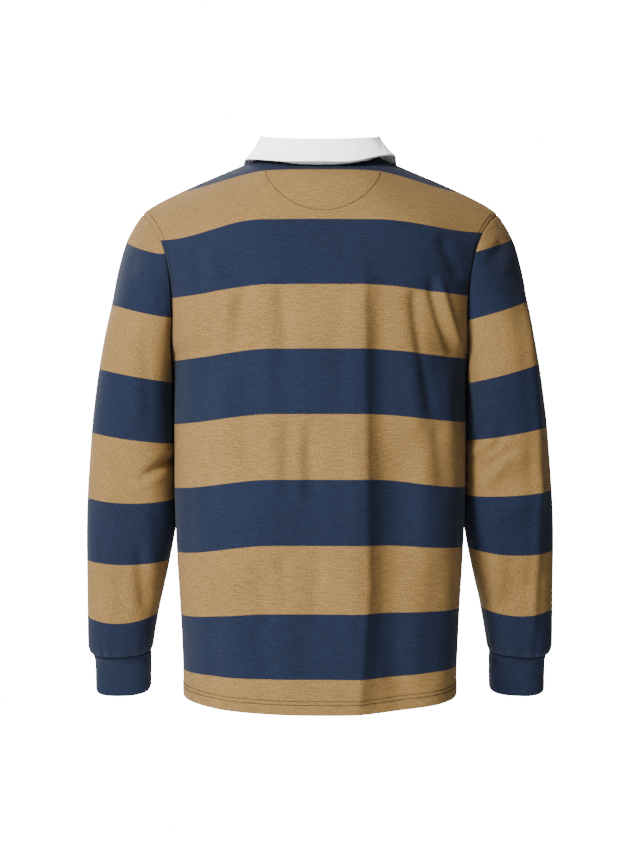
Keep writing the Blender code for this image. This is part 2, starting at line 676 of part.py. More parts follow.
def build_button(name, up, lift, material, collection):
    """Make a button, a disc with sloping sides that lies on the over band."""
    mesh = bmesh.new()
    bmesh.ops.create_cone(mesh, cap_ends=True, segments=BUTTON_SIDES, radius1=BUTTON_RADIUS,
                          radius2=BUTTON_TOP_RADIUS, depth=BUTTON_THICKNESS)
    normal = panel_own_normal("front", 1.0, up)
    spot = band_point(0.0, up, lift + BUTTON_THICKNESS / 2)
    turn = normal.to_track_quat("Z", "Y").to_matrix()
    for vert in mesh.verts:
        vert.co = turn @ vert.co + spot
    return new_object(name, mesh, material, collection)


def build_placket(jersey, rubber, collection):
    """Make the two bands and the buttons."""
    slit_rows = [up for up in PANEL_ROWS if up >= SLIT_UP]
    under_rows = [UNDER_BAND_BOTTOM_UP] + slit_rows[1:-1] + [UNDER_BAND_TOP_UP]
    build_band("placket_under", SLIT_HALF_WIDTH - SEAM_GAP, under_rows, 0.0, jersey, collection)
    over_lift = SEAM_GAP + BAND_WALL
    over_rows = [OVER_BAND_BOTTOM_UP] + slit_rows[:-1] + [OVER_BAND_TOP_UP]
    build_band("placket_over", OVER_BAND_HALF_WIDTH, over_rows, over_lift, jersey, collection)
    for k, up in enumerate(BUTTON_UPS):
        build_button(f"button_{k + 1}", up, over_lift + SEAM_GAP, rubber, collection)


def main():
    for old in list(bpy.data.objects):
        bpy.data.objects.remove(old)
    collection = bpy.data.collections.new(COLLECTION)
    bpy.context.scene.collection.children.link(collection)
    build_panel("back", 0, None, new_material("back_jersey", TAN, CLOTH_ROUGHNESS), collection)
    build_panel("front", 1, in_slit, new_material("front_jersey", TAN, CLOTH_ROUGHNESS), collection)
    for word, hand in (("left", 1.0), ("right", -1.0)):
        jersey = new_material(f"sleeve_{word}_jersey", TAN, CLOTH_ROUGHNESS)
        rib = new_material(f"cuff_{word}_rib", NAVY, CLOTH_ROUGHNESS)
        build_tube(f"sleeve_{word}", SLEEVE_ROWS, sleeve_point, sleeve_normal, JERSEY_WALL, hand, jersey,
                   collection)
        build_tube(f"cuff_{word}", CUFF_ROWS, cuff_point, cuff_normal, RIB_WALL, hand, rib, collection)
    build_collar(new_material("collar_cloth", WHITE, CLOTH_ROUGHNESS), collection)
    band_jersey = new_material("placket_jersey", NAVY, CLOTH_ROUGHNESS)
    build_placket(band_jersey, new_material("button_rubber", RUBBER, RUBBER_ROUGHNESS), collection)


main()
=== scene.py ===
"""The looks of a long-sleeved polo shirt in wide tan and navy hoops, laid out as a Blender add-on.

Metres, +Z up. The shirt faces -Y and its wearer's left is at +X. The origin is the middle of the neck.
Each piece of cloth is a fine grid on the outside of its solid, with the folds added, and a live Solidify
gives it its wall. The first tables follow the cut of the solids, with a squarer back and with sleeves that
press on the body, as cloth hangs. The next ones add the folds, hoops and stitching.
"""
import math
from collections import namedtuple

import bmesh
import bpy
import numpy as np
from mathutils import Matrix, Vector
from mathutils.bvhtree import BVHTree


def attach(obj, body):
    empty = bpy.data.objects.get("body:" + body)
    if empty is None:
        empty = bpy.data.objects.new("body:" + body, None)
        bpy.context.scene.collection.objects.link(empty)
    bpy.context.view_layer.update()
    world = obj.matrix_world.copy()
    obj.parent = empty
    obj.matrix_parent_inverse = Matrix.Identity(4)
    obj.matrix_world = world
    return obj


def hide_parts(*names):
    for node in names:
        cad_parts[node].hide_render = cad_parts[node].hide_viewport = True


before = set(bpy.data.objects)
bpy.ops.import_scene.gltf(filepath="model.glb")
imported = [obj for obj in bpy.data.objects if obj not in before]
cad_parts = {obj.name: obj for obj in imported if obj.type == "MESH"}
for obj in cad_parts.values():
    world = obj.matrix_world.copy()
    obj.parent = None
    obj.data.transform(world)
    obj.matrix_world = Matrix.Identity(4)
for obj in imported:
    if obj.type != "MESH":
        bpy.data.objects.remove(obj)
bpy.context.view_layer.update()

bl_info = {
    "name": "Hooped polo shirt",
    "version": (1, 0, 0),
    "blender": (4, 5, 0),
    "location": "3D View > Sidebar > Shirt",
    "description": "Builds a long-sleeved polo shirt piece by piece around its solids",
    "category": "Add Mesh",
}

# Places on a panel and a sleeve, as shares of them, and how much of them a change takes
UNDERARM_UP = 0.50
NECK_POINT_ACROSS = 0.60
YOKE_UP = 0.84
KINK_UP = 0.965
YOKE_SMOOTHING = 60
FOLD_FADE = 0.16
FOLD_END = 0.15
SLIT_UP = 0.58
CAP_FADE = 0.24
SLEEVE_FLATNESS = 0.80

# Shoulder, collar and placket
SHOULDER_BOW = 0.0064
SHOULDER_BOW_POWER = 0.5
COLLAR_FOLD_RADIUS = 0.0032
COLLAR_SEAT = -0.0012
FALL_HOLLOW = 0.0015
SLIT_HALF_WIDTH = 0.0145
BAND_HALF_WIDTH = 0.0180
BAND_BOTTOM_UP = 0.556
BAND_TOP_UP = 0.982
BAND_WALL = 0.0016
PIECE_GAP = 0.0003

SeamPoint = namedtuple("SeamPoint", "up x y z")
RowShape = namedtuple("RowShape", "up lead_x lead_y lead_z middle_y middle_z middle_lead")
CollarStation = namedtuple("CollarStation", "round fold_x fold_y fold_z edge_x edge_y edge_z")
NeckStation = namedtuple("NeckStation", "round x y z")
Ring = namedtuple("Ring", "along out_x out_z in_x in_z middle_y behind before tilt")
Fold = namedtuple("Fold", "x0 z0 x1 z1 width height bow")
HoopLine = namedtuple("HoopLine", "middle left right flat")
Gather = namedtuple("Gather", "turn depth reach")
HoopRing = namedtuple("HoopRing", "outer middle inner")
Lamp = namedtuple("Lamp", "name spot size share")
Shade = namedtuple("Shade", "spread dark light")

# Side seam, from the hem up to the underarm
SIDE_SEAM = [
    SeamPoint(0, 0.185, 0, -0.72),
    SeamPoint(0.044, 0.1858, 0, -0.68),
    SeamPoint(0.12, 0.189, 0, -0.61),
    SeamPoint(0.218, 0.1945, 0, -0.52),
    SeamPoint(0.306, 0.1972, 0, -0.44),
    SeamPoint(0.404, 0.198, 0, -0.35),
    SeamPoint(0.469, 0.1988, -0.002, -0.29),
    SeamPoint(0.5, 0.202, -0.004, -0.262),
]

# Armhole, from the underarm up to the shoulder tip
ARMHOLE = {
    "back": [
        SeamPoint(0.5, 0.202, -0.004, -0.262),
        SeamPoint(0.575, 0.199, 0.034, -0.247),
        SeamPoint(0.66, 0.1968, 0.064, -0.212),
        SeamPoint(0.75, 0.1985, 0.0755, -0.168),
        SeamPoint(0.83, 0.205, 0.073, -0.133),
        SeamPoint(0.9, 0.2155, 0.057, -0.104),
        SeamPoint(0.955, 0.229, 0.03, -0.082),
        SeamPoint(1, 0.2414, 0, -0.069),
    ],
    "front": [
        SeamPoint(0.5, 0.202, -0.004, -0.262),
        SeamPoint(0.575, 0.1985, -0.04, -0.247),
        SeamPoint(0.66, 0.195, -0.07, -0.21),
        SeamPoint(0.75, 0.1945, -0.082, -0.166),
        SeamPoint(0.83, 0.2, -0.079, -0.131),
        SeamPoint(0.9, 0.2125, -0.061, -0.102),
        SeamPoint(0.955, 0.2275, -0.032, -0.081),
        SeamPoint(1, 0.2414, 0, -0.069),
    ],
}

# How each row leaves its edge (lead) and where it crosses the middle of the panel
ROWS = {
    "back": [
        RowShape(0, 0, 0.104, 0, 0.138, -0.733, 0.122),
        RowShape(0.12, 0, 0.105, 0, 0.1395, -0.615, 0.124),
        RowShape(0.218, 0, 0.107, 0, 0.142, -0.52, 0.128),
        RowShape(0.306, 0, 0.109, 0, 0.1445, -0.44, 0.13),
        RowShape(0.404, 0, 0.108, 0, 0.148, -0.345, 0.131),
        RowShape(0.5, -0.001, 0.092, 0.002, 0.15, -0.253, 0.133),
        RowShape(0.575, -0.003, 0.071, 0.007, 0.149, -0.216, 0.132),
        RowShape(0.66, -0.011, 0.049, 0.013, 0.1465, -0.178, 0.128),
        RowShape(0.75, -0.022, 0.038, 0.018, 0.1405, -0.134, 0.128),
        RowShape(0.83, -0.035, 0.03, 0.024, 0.13, -0.093, 0.125),
        RowShape(0.9, -0.048, 0.022, 0.026, 0.113, -0.055, 0.105),
        RowShape(0.955, -0.055, 0.012, 0.027, 0.092, -0.025, 0.08),
        RowShape(1, -0.055, 0, 0.026, 0.066, -0.008, 0.05),
    ],
    "front": [
        RowShape(0, 0, -0.088, 0, -0.13, -0.73, 0.1),
        RowShape(0.12, 0, -0.089, 0, -0.132, -0.612, 0.102),
        RowShape(0.218, 0, -0.091, 0, -0.134, -0.52, 0.105),
        RowShape(0.306, 0, -0.093, 0, -0.136, -0.44, 0.107),
        RowShape(0.404, 0, -0.09, 0, -0.138, -0.348, 0.108),
        RowShape(0.5, -0.001, -0.076, 0.002, -0.139, -0.265, 0.109),
        RowShape(0.575, -0.005, -0.059, 0.006, -0.138, -0.233, 0.11),
        RowShape(0.66, -0.013, -0.043, 0.01, -0.136, -0.203, 0.112),
        RowShape(0.75, -0.026, -0.03, 0.012, -0.131, -0.17, 0.112),
        RowShape(0.83, -0.038, -0.022, 0.015, -0.124, -0.138, 0.105),
        RowShape(0.9, -0.048, -0.016, 0.02, -0.116, -0.11, 0.09),
        RowShape(0.955, -0.055, -0.009, 0.025, -0.107, -0.088, 0.065),
        RowShape(1, -0.055, 0, 0.026, -0.098, -0.0705, 0.04),
    ],
}

# Neckline, from the middle of the back (0) past the shoulder seam (0.5) to the slit (1) and the middle (1.1)
NECKLINE = [
    NeckStation(0, 0, 0.066, -0.008),
    NeckStation(0.17, 0.033, 0.06, -0.006),
    NeckStation(0.34, 0.0625, 0.0395, 0.001),
    NeckStation(0.5, 0.08, 0, 0.009),
    NeckStation(0.66, 0.075, -0.039, -0.013),
    NeckStation(0.8, 0.056, -0.072, -0.042),
    NeckStation(0.9, 0.0345, -0.09, -0.06),
    NeckStation(1, 0.0145, -0.098, -0.0705),
    NeckStation(1.1, 0, -0.099, -0.072),
]

# Collar, from the middle of the back to its front end: the top of its fold, and its loose edge
COLLAR = [
    CollarStation(0, 0, 0.06, 0.027, 0, 0.0885, -0.0056),
    CollarStation(0.17, 0.034, 0.054, 0.028, 0.047, 0.08, -0.0045),
    CollarStation(0.34, 0.064, 0.035, 0.032, 0.0855, 0.048, 0.0015),
    CollarStation(0.42, 0.0745, 0.018, 0.0345, 0.0975, 0.025, 0.0045),
    CollarStation(0.5, 0.08, -0.002, 0.037, 0.1035, 0, 0.0045),
    CollarStation(0.66, 0.079, -0.042, 0.016, 0.106, -0.048, -0.015),
    CollarStation(0.8, 0.06, -0.078, -0.012, 0.098, -0.088, -0.053),
    CollarStation(0.9, 0.037, -0.097, -0.03, 0.084, -0.109, -0.085),
    CollarStation(1, 0.015, -0.107, -0.04, 0.068, -0.123, -0.112),
    CollarStation(1.08, 0.004, -0.109, -0.043, 0.058, -0.129, -0.125),
]

# Left sleeve and cuff, from the armhole to the wrist: each ring's outer and inner point as seen from behind,
# the middle of its depth, its half depths behind and before that, and its forward tilt in degrees
SLEEVE = [
    Ring(0, 0.2414, -0.069, 0.202, -0.262, 0, 0.076, 0.078, 0),
    Ring(0.03, 0.2525, -0.0855, 0.203, -0.266, 0, 0.079, 0.08, 0),
    Ring(0.06, 0.2635, -0.1065, 0.201, -0.274, -0.001, 0.081, 0.0815, 0),
    Ring(0.11, 0.2745, -0.145, 0.1993, -0.289, -0.001, 0.082, 0.0825, 0),
    Ring(0.17, 0.2832, -0.19, 0.1986, -0.308, -0.002, 0.0825, 0.0825, 1),
    Ring(0.235, 0.292, -0.235, 0.198, -0.33, -0.003, 0.0825, 0.082, 2),
    Ring(0.305, 0.3, -0.279, 0.1976, -0.355, -0.005, 0.0815, 0.081, 3),
    Ring(0.375, 0.306, -0.322, 0.1974, -0.384, -0.008, 0.08, 0.079, 4),
    Ring(0.45, 0.3106, -0.365, 0.1973, -0.415, -0.012, 0.078, 0.076, 6),
    Ring(0.605, 0.3175, -0.453, 0.1962, -0.48, -0.022, 0.071, 0.068, 8),
    Ring(0.755, 0.3203, -0.539, 0.2075, -0.545, -0.037, 0.062, 0.059, 10),
    Ring(0.905, 0.3209, -0.617, 0.2235, -0.615, -0.054, 0.053, 0.05, 11),
    Ring(0.97, 0.3212, -0.655, 0.23, -0.65, -0.062, 0.047, 0.046, 12),
    Ring(0.988, 0.3192, -0.664, 0.2318, -0.659, -0.065, 0.043, 0.043, 13),
    Ring(1, 0.3142, -0.668, 0.2352, -0.663, -0.066, 0.034, 0.034, 14),
]
CUFF = [
    Ring(0, 0.3142, -0.668, 0.2352, -0.663, -0.066, 0.034, 0.034, 14),
    Ring(0.25, 0.3128, -0.681, 0.2346, -0.677, -0.071, 0.0305, 0.0305, 16),
    Ring(0.6, 0.313, -0.7, 0.2352, -0.697, -0.08, 0.0295, 0.0295, 18),
    Ring(1, 0.3135, -0.7228, 0.2362, -0.7203, -0.089, 0.029, 0.029, 21),
]

# The large folds of the solids, and after them the finer ones. Each is a line as seen from behind, with its
# width, the height of its ridge or, below 0, of its trough, and how far its middle bows out
FOLDS = {
    "back": [
        Fold(-0.052, -0.15, -0.05, -0.735, 0.02, 0.0045, 0),
        Fold(-0.088, -0.18, -0.09, -0.735, 0.026, -0.006, 0),
        Fold(0.112, -0.185, 0.15, -0.3, 0.022, -0.0045, 0),
        Fold(0.06, -0.18, 0.05, -0.32, 0.02, -0.003, 0),
        Fold(-0.125, -0.18, -0.165, -0.3, 0.022, -0.0045, 0),
        Fold(0.115, -0.54, 0.12, -0.735, 0.024, 0.0035, 0),
        Fold(0.02, -0.4, 0.015, -0.735, 0.022, -0.003, 0),
    ],
    "front": [
        Fold(0.085, -0.25, 0.075, -0.73, 0.026, -0.005, 0),
        Fold(0.12, -0.3, 0.118, -0.73, 0.022, 0.0035, 0),
        Fold(-0.07, -0.28, -0.06, -0.73, 0.026, -0.005, 0),
        Fold(-0.125, -0.33, -0.12, -0.73, 0.022, 0.0035, 0),
    ],
    "sleeve": [
        Fold(0.292, -0.405, 0.228, -0.45, 0.018, -0.0035, 0),
        Fold(0.292, -0.45, 0.228, -0.48, 0.018, 0.003, 0),
        Fold(0.295, -0.56, 0.235, -0.6, 0.018, -0.003, 0),
    ],
}
FINE_FOLDS = {
    "back": [
        # The long fold in the right half: its edge in three stretches, the trough beside it and a wide one
        Fold(-0.0566, -0.16, -0.0606, -0.42, 0.005, 0.003, 0),
        Fold(-0.0606, -0.42, -0.0635, -0.57, 0.005, 0.003, 0),
        Fold(-0.0635, -0.57, -0.05, -0.73, 0.005, 0.0028, 0),
        Fold(-0.076, -0.175, -0.08, -0.42, 0.017, -0.0046, 0),
        Fold(-0.08, -0.42, -0.083, -0.58, 0.013, -0.0024, 0),
        Fold(-0.083, -0.58, -0.07, -0.73, 0.013, -0.0028, 0),
        Fold(-0.11, -0.38, -0.113, -0.735, 0.033, -0.0175, 0),
        # Left half and middle
        Fold(0.098, -0.18, 0.111, -0.262, 0.008, -0.0045, 0.002),
        Fold(0.116, -0.18, 0.13, -0.27, 0.008, 0.0031, 0.002),
        Fold(0.05, -0.172, 0.04, -0.262, 0.009, -0.004, 0.001),
        Fold(0.068, -0.17, 0.066, -0.33, 0.012, 0.0029, 0),
        Fold(0.141, -0.13, 0.121, -0.21, 0.01, 0.0035, 0.002),
        Fold(0.161, -0.14, 0.153, -0.24, 0.01, -0.004, 0.002),
        Fold(0.17, -0.215, 0.164, -0.33, 0.011, 0.0029, 0),
        Fold(0.153, -0.26, 0.159, -0.36, 0.01, -0.0034, 0),
        Fold(0.12, -0.29, 0.128, -0.4, 0.012, 0.0031, 0.002),
        Fold(0.096, -0.3, 0.092, -0.42, 0.012, -0.0037, 0.002),
        Fold(0.064, -0.33, 0.056, -0.44, 0.011, 0.0031, 0),
        Fold(0.039, -0.35, 0.045, -0.44, 0.01, -0.0032, 0),
        Fold(0.014, -0.35, 0.012, -0.44, 0.009, -0.0044, 0.001),
        Fold(0.028, -0.36, 0.026, -0.46, 0.009, 0.0029, 0.001),
        Fold(0.14, -0.385, 0.15, -0.47, 0.012, -0.0037, 0),
        Fold(0.171, -0.38, 0.173, -0.52, 0.01, -0.0029, 0),
        Fold(0.048, -0.52, 0.049, -0.6, 0.01, -0.0034, 0.001),
        Fold(0.001, -0.52, 0.005, -0.61, 0.01, -0.0034, 0.001),
        Fold(0.075, -0.54, 0.069, -0.7, 0.013, -0.0032, 0.001),
        # Right half, from the armhole down
        Fold(-0.124, -0.18, -0.136, -0.268, 0.008, -0.0052, 0.002),
        Fold(-0.145, -0.165, -0.177, -0.262, 0.007, -0.0057, 0.003),
        Fold(-0.156, -0.165, -0.186, -0.255, 0.006, 0.0045, 0.002),
        Fold(-0.161, -0.108, -0.184, -0.16, 0.009, -0.0049, 0.002),
        Fold(-0.136, -0.268, -0.149, -0.345, 0.008, -0.0045, 0.001),
        Fold(-0.12, -0.28, -0.128, -0.36, 0.009, 0.0029, 0),
        Fold(-0.167, -0.285, -0.173, -0.38, 0.01, 0.0029, 0),
        Fold(-0.154, -0.355, -0.165, -0.44, 0.01, -0.004, 0),
        Fold(-0.136, -0.4, -0.138, -0.52, 0.012, 0.0025, 0),
        Fold(-0.12, -0.56, -0.128, -0.7, 0.014, 0.0028, 0.002),
        Fold(-0.157, -0.54, -0.149, -0.69, 0.013, -0.0034, 0),
        Fold(-0.027, -0.19, -0.029, -0.33, 0.013, -0.002, 0),
        Fold(0.135, -0.56, 0.14, -0.7, 0.014, -0.0034, 0),
    ],
    "front": [
        Fold(0.15, -0.13, 0.12, -0.225, 0.011, -0.002, 0.003),
        Fold(0.165, -0.165, 0.14, -0.27, 0.01, 0.0014, 0.002),
        Fold(0.175, -0.215, 0.15, -0.33, 0.01, -0.0016, 0.002),
        Fold(0.11, -0.2, 0.1, -0.33, 0.012, 0.0012, 0.002),
        Fold(0.06, -0.25, 0.052, -0.4, 0.013, 0.0012, 0.001),
        Fold(0.045, -0.38, 0.04, -0.56, 0.012, -0.0012, 0.001),
        Fold(0.1, -0.4, 0.095, -0.56, 0.012, 0.0013, 0),
        Fold(0.15, -0.43, 0.146, -0.6, 0.013, -0.0014, 0),
        Fold(0.055, -0.58, 0.05, -0.72, 0.012, 0.0012, 0.001),
        Fold(0.172, -0.56, 0.165, -0.7, 0.012, 0.001, 0),
        Fold(-0.145, -0.125, -0.115, -0.235, 0.011, -0.002, 0.003),
        Fold(-0.165, -0.165, -0.138, -0.285, 0.01, 0.0015, 0.002),
        Fold(-0.178, -0.23, -0.155, -0.345, 0.01, -0.0014, 0.002),
        Fold(-0.098, -0.21, -0.092, -0.35, 0.012, 0.0012, 0.002),
        Fold(-0.045, -0.3, -0.04, -0.47, 0.013, 0.0012, 0.001),
        Fold(-0.1, -0.44, -0.096, -0.62, 0.012, 0.0013, 0),
        Fold(-0.155, -0.42, -0.15, -0.58, 0.012, -0.0012, 0),
        Fold(-0.04, -0.52, -0.034, -0.7, 0.012, -0.0012, 0.001),
        Fold(0, -0.42, 0.004, -0.7, 0.016, 0.001, 0.002),
    ],
    "sleeve_left behind": [
        Fold(0.238, -0.428, 0.198, -0.399, 0.0065, -0.005, 0),
        Fold(0.24, -0.414, 0.2, -0.386, 0.008, 0.0024, 0),
        Fold(0.246, -0.44, 0.204, -0.418, 0.007, 0.0024, 0),
        Fold(0.232, -0.25, 0.228, -0.36, 0.01, -0.0024, 0),
        Fold(0.252, -0.13, 0.24, -0.2, 0.01, -0.0018, 0.002),
        Fold(0.226, -0.13, 0.22, -0.19, 0.007, 0.0018, 0.001),
        Fold(0.27, -0.22, 0.262, -0.34, 0.011, -0.0015, 0.002),
        Fold(0.245, -0.23, 0.238, -0.34, 0.012, 0.0015, 0.002),
        Fold(0.243, -0.52, 0.235, -0.605, 0.008, -0.0033, 0.002),
        Fold(0.257, -0.54, 0.252, -0.61, 0.009, 0.0018, 0.001),
        Fold(0.274, -0.56, 0.27, -0.62, 0.008, -0.0023, 0.001),
        Fold(0.292, -0.48, 0.296, -0.6, 0.012, -0.0015, 0),
        Fold(0.23, -0.47, 0.226, -0.56, 0.008, 0.0018, 0.001),
    ],
    "sleeve_right behind": [
        Fold(0.273, -0.19, 0.294, -0.452, 0.007, 0.0046, 0.004),
        Fold(0.294, -0.43, 0.289, -0.64, 0.007, 0.0046, 0),
        Fold(0.288, -0.2, 0.31, -0.452, 0.007, -0.0018, 0.003),
        Fold(0.222, -0.35, 0.204, -0.378, 0.006, -0.0033, 0.001),
        Fold(0.232, -0.372, 0.206, -0.392, 0.006, 0.0033, 0.001),
        Fold(0.246, -0.352, 0.228, -0.392, 0.008, -0.0026, 0.003),
        Fold(0.258, -0.385, 0.216, -0.415, 0.007, -0.0033, 0.002),
        Fold(0.25, -0.4, 0.212, -0.44, 0.008, 0.0027, 0.001),
        Fold(0.246, -0.112, 0.222, -0.14, 0.006, -0.003, 0.002),
        Fold(0.236, -0.104, 0.214, -0.122, 0.005, 0.0021, 0.001),
        Fold(0.262, -0.112, 0.24, -0.16, 0.008, 0.0018, 0.002),
        Fold(0.222, -0.5, 0.222, -0.6, 0.008, -0.0027, 0.001),
        Fold(0.24, -0.52, 0.236, -0.62, 0.009, 0.0019, 0.001),
        Fold(0.258, -0.53, 0.254, -0.61, 0.008, -0.0019, 0.001),
        Fold(0.276, -0.52, 0.272, -0.63, 0.009, 0.0016, 0.001),
    ],
    "sleeve_left before": [
        Fold(0.292, -0.378, 0.216, -0.415, 0.009, -0.003, 0.003),
        Fold(0.288, -0.41, 0.214, -0.44, 0.009, 0.0024, 0.003),
        Fold(0.29, -0.44, 0.216, -0.462, 0.009, -0.0026, 0.002),
        Fold(0.284, -0.34, 0.222, -0.385, 0.01, 0.002, 0.002),
        Fold(0.262, -0.15, 0.25, -0.26, 0.011, -0.0014, 0.002),
        Fold(0.286, -0.52, 0.262, -0.6, 0.01, -0.0016, 0.002),
        Fold(0.256, -0.5, 0.244, -0.6, 0.01, 0.0014, 0.001),
    ],
    "sleeve_right before": [
        Fold(0.294, -0.366, 0.214, -0.402, 0.009, -0.003, 0.003),
        Fold(0.29, -0.398, 0.214, -0.43, 0.009, 0.0024, 0.002),
        Fold(0.288, -0.43, 0.216, -0.452, 0.009, -0.0024, 0.002),
        Fold(0.28, -0.17, 0.262, -0.28, 0.011, -0.0014, 0.002),
        Fold(0.29, -0.5, 0.268, -0.59, 0.01, -0.0016, 0.002),
        Fold(0.25, -0.52, 0.242, -0.61, 0.01, 0.0014, 0.001),
    ],
}

# Where the hoops change colour, from the top down. On a panel: the height at its middle and its two sides, and
# how far from the middle it stays level
HOOP_LINES = {
    "back": [
        HoopLine(-0.0165, -0.039, -0.04, 0.07),
        HoopLine(-0.0865, -0.109, -0.098, 0.078),
        HoopLine(-0.1726, -0.187, -0.184, 0.06),
        HoopLine(-0.256, -0.269, -0.266, 0.06),
        HoopLine(-0.341, -0.354, -0.351, 0.06),
        HoopLine(-0.426, -0.439, -0.438, 0.06),
        HoopLine(-0.512, -0.5255, -0.518, 0.06),
        HoopLine(-0.601, -0.6095, -0.6005, 0.06),
        HoopLine(-0.686, -0.683, -0.679, 0.06),
    ],
    "front": [
        HoopLine(-0.048, -0.088, -0.088, 0.07),
        HoopLine(-0.118, -0.142, -0.14, 0.06),
        HoopLine(-0.198, -0.208, -0.206, 0.06),
        HoopLine(-0.274, -0.269, -0.266, 0.06),
        HoopLine(-0.356, -0.354, -0.351, 0.06),
        HoopLine(-0.44, -0.439, -0.438, 0.06),
        HoopLine(-0.526, -0.527, -0.5195, 0.06),
        HoopLine(-0.61, -0.612, -0.603, 0.06),
        HoopLine(-0.69, -0.683, -0.679, 0.06),
    ],
}

# On a sleeve: the height at its outer line, at the middle of its back, and at its inner line
HOOP_RINGS = {
    "left": [
        HoopRing(-0.107, -0.1236, -0.1275),
        HoopRing(-0.192, -0.206, -0.212),
        HoopRing(-0.279, -0.291, -0.298),
        HoopRing(-0.3645, -0.375, -0.38),
        HoopRing(-0.453, -0.46, -0.4555),
        HoopRing(-0.5386, -0.544, -0.5386),
        HoopRing(-0.617, -0.6256, -0.6135),
    ],
    "right": [
        HoopRing(-0.1027, -0.1182, -0.1259),
        HoopRing(-0.1877, -0.2049, -0.2148),
        HoopRing(-0.2724, -0.2886, -0.2988),
        HoopRing(-0.357, -0.369, -0.376),
        HoopRing(-0.443, -0.45, -0.45),
        HoopRing(-0.525, -0.531, -0.522),
        HoopRing(-0.606, -0.615, -0.605),
    ],
}

HOOP_EDGE_X = 0.200
FRONT_SLEEVE_DROP = 0.005

# Small gathers where a sleeve is sewn to its cuff: how far round, how deep, and how far up they reach
GATHERS = {
    "left": [
        Gather(0.188, 0.0016, 0.014), Gather(0.27, 0.0008, 0.012), Gather(0.373, 0.0015, 0.015),
        Gather(0.464, 0.001, 0.02), Gather(0.59, 0.0007, 0.012), Gather(0.724, 0.0013, 0.016),
        Gather(0.85, 0.0009, 0.014), Gather(-0.9, 0.001, 0.016), Gather(-0.76, 0.0012, 0.014),
        Gather(-0.62, 0.0009, 0.018), Gather(-0.47, 0.0014, 0.015), Gather(-0.33, 0.0009, 0.013),
        Gather(-0.2, 0.0013, 0.016), Gather(-0.06, 0.0008, 0.012),
    ],
    "right": [
        Gather(0.12, 0.0008, 0.012), Gather(0.25, 0.001, 0.014), Gather(0.38, 0.0017, 0.02),
        Gather(0.5, 0.0007, 0.012), Gather(0.62, 0.0012, 0.015), Gather(0.76, 0.0009, 0.018),
        Gather(0.88, 0.0012, 0.014), Gather(-0.93, 0.0009, 0.013), Gather(-0.79, 0.0013, 0.016),
        Gather(-0.65, 0.0008, 0.014), Gather(-0.52, 0.0012, 0.017), Gather(-0.38, 0.0014, 0.014),
        Gather(-0.24, 0.0008, 0.013), Gather(-0.09, 0.0012, 0.015),
    ],
}

# Grid lines: close ones beside seams and hems, then even ones. Sleeve and cuff shares are of their length
EDGE_SHARES = [0.0, 0.0015, 0.0035, 0.007, 0.012]
HEM_ROW_STEP = 0.0009
HEM_ROW_COUNT = 30
PANEL_HALF_COLUMNS = 66
PANEL_ROW_COUNT = 165
STRIP_COLUMNS = 6
SLEEVE_START_SHARES = [0.0, 0.0015, 0.0035, 0.006, 0.010]
SLEEVE_END_SHARES = [0.0015 * k for k in range(11)]
SLEEVE_ROW_COUNT = 140
SLEEVE_COLUMNS = 116
CUFF_ROW_COUNT = 40
CUFF_END_SHARES = [0.0, 0.006, 0.014, 0.025, 0.04]

# How finely the form's slope is read, and a point inside the shirt that normals point away from
FORM_STEP = 0.004
BODY_MIDDLE = (0.0, 0.0, -0.25)

# Small relief. A wave is a sum of three sines, whose steps and starts differ
WAVE_STRETCHES = (1.0, 0.617, 1.731)
WAVE_SEED_TURN = 1.7
WAVE_TURN = 2.1
WAVE_PEAK = 1.8
SEEDS = {"panel": 1.0, "side": 3.0, "top": 4.0, "hem": 5.0, "sleeve left": 7.0, "sleeve right": 9.0,
         "cuff left": 11.0, "cuff right": 13.0, "band": 4.0, "collar": (2.0, 3.0, 6.0)}
FINE_FADE = 0.06
PUCKER_REACH = 0.006
PUCKER_STEP = 0.0017
SOFT_WAVE = 0.0005
SOFT_WAVE_STEPS = (0.019, 0.028)
SOFT_WAVE_SLANTS = (0.3, 0.2)
HEM_ROUND = 0.0008
HEM_ROUND_WIDTH = 0.0016
HEM_STEP = 0.0004
HEM_RIPPLE = 1.6
HEM_RIPPLE_SLANT = 0.8
HEM_RIPPLE_STEP = PUCKER_STEP * 1.3
HEM_RIPPLE_MIDDLE = 0.75
HEM_RIPPLE_REACH = 0.6
GROOVE_WIDTH = 0.0009
GROOVE_DEPTH = 0.0004
RIM_HEIGHT = 0.0007
RIM_WIDTH = 0.0042
TUCK_REACH = 0.0036
TUCK_SLOPE = 0.5
NECK_TUCK = 0.0075
NECK_TUCK_START = 0.1

# Relief of the sleeves: where folds start beside the body, how their back goes over into their front, how far
# from the ends the cloth is plain, and what a gather at the cuff is like
SLEEVE_CLEAR_X = 0.215
SLEEVE_CLEAR_WIDTH = 0.03
BEHIND_BLEND = 1.5
CAP_PLAIN = 0.03
CUFF_PLAIN = 0.02
UNDERARM_SEAM = 0.6
RIM_SHAPE = 0.6
GATHER_START = RIM_WIDTH * 1.6
GATHER_RISE = 0.003
GATHER_DEPTH = 2.2
GATHER_WIDTH = 0.022
GATHER_SIDE = 0.6
GATHER_SIDE_AWAY = 0.05
GATHER_SIDE_WIDTH = 0.03

# Relief of the cuffs: a roll at the seam, a rounded lower fold and a faint wave
CUFF_ROLL = 0.0006
CUFF_ROLL_AWAY = 0.0045
CUFF_ROLL_WIDTH = 0.0018
CUFF_ROUND = 0.0009
CUFF_ROUND_WIDTH = 0.0022
CUFF_WAVE = 0.0004
CUFF_WAVE_STEP = 0.009
CUFF_WAVE_START = 0.01

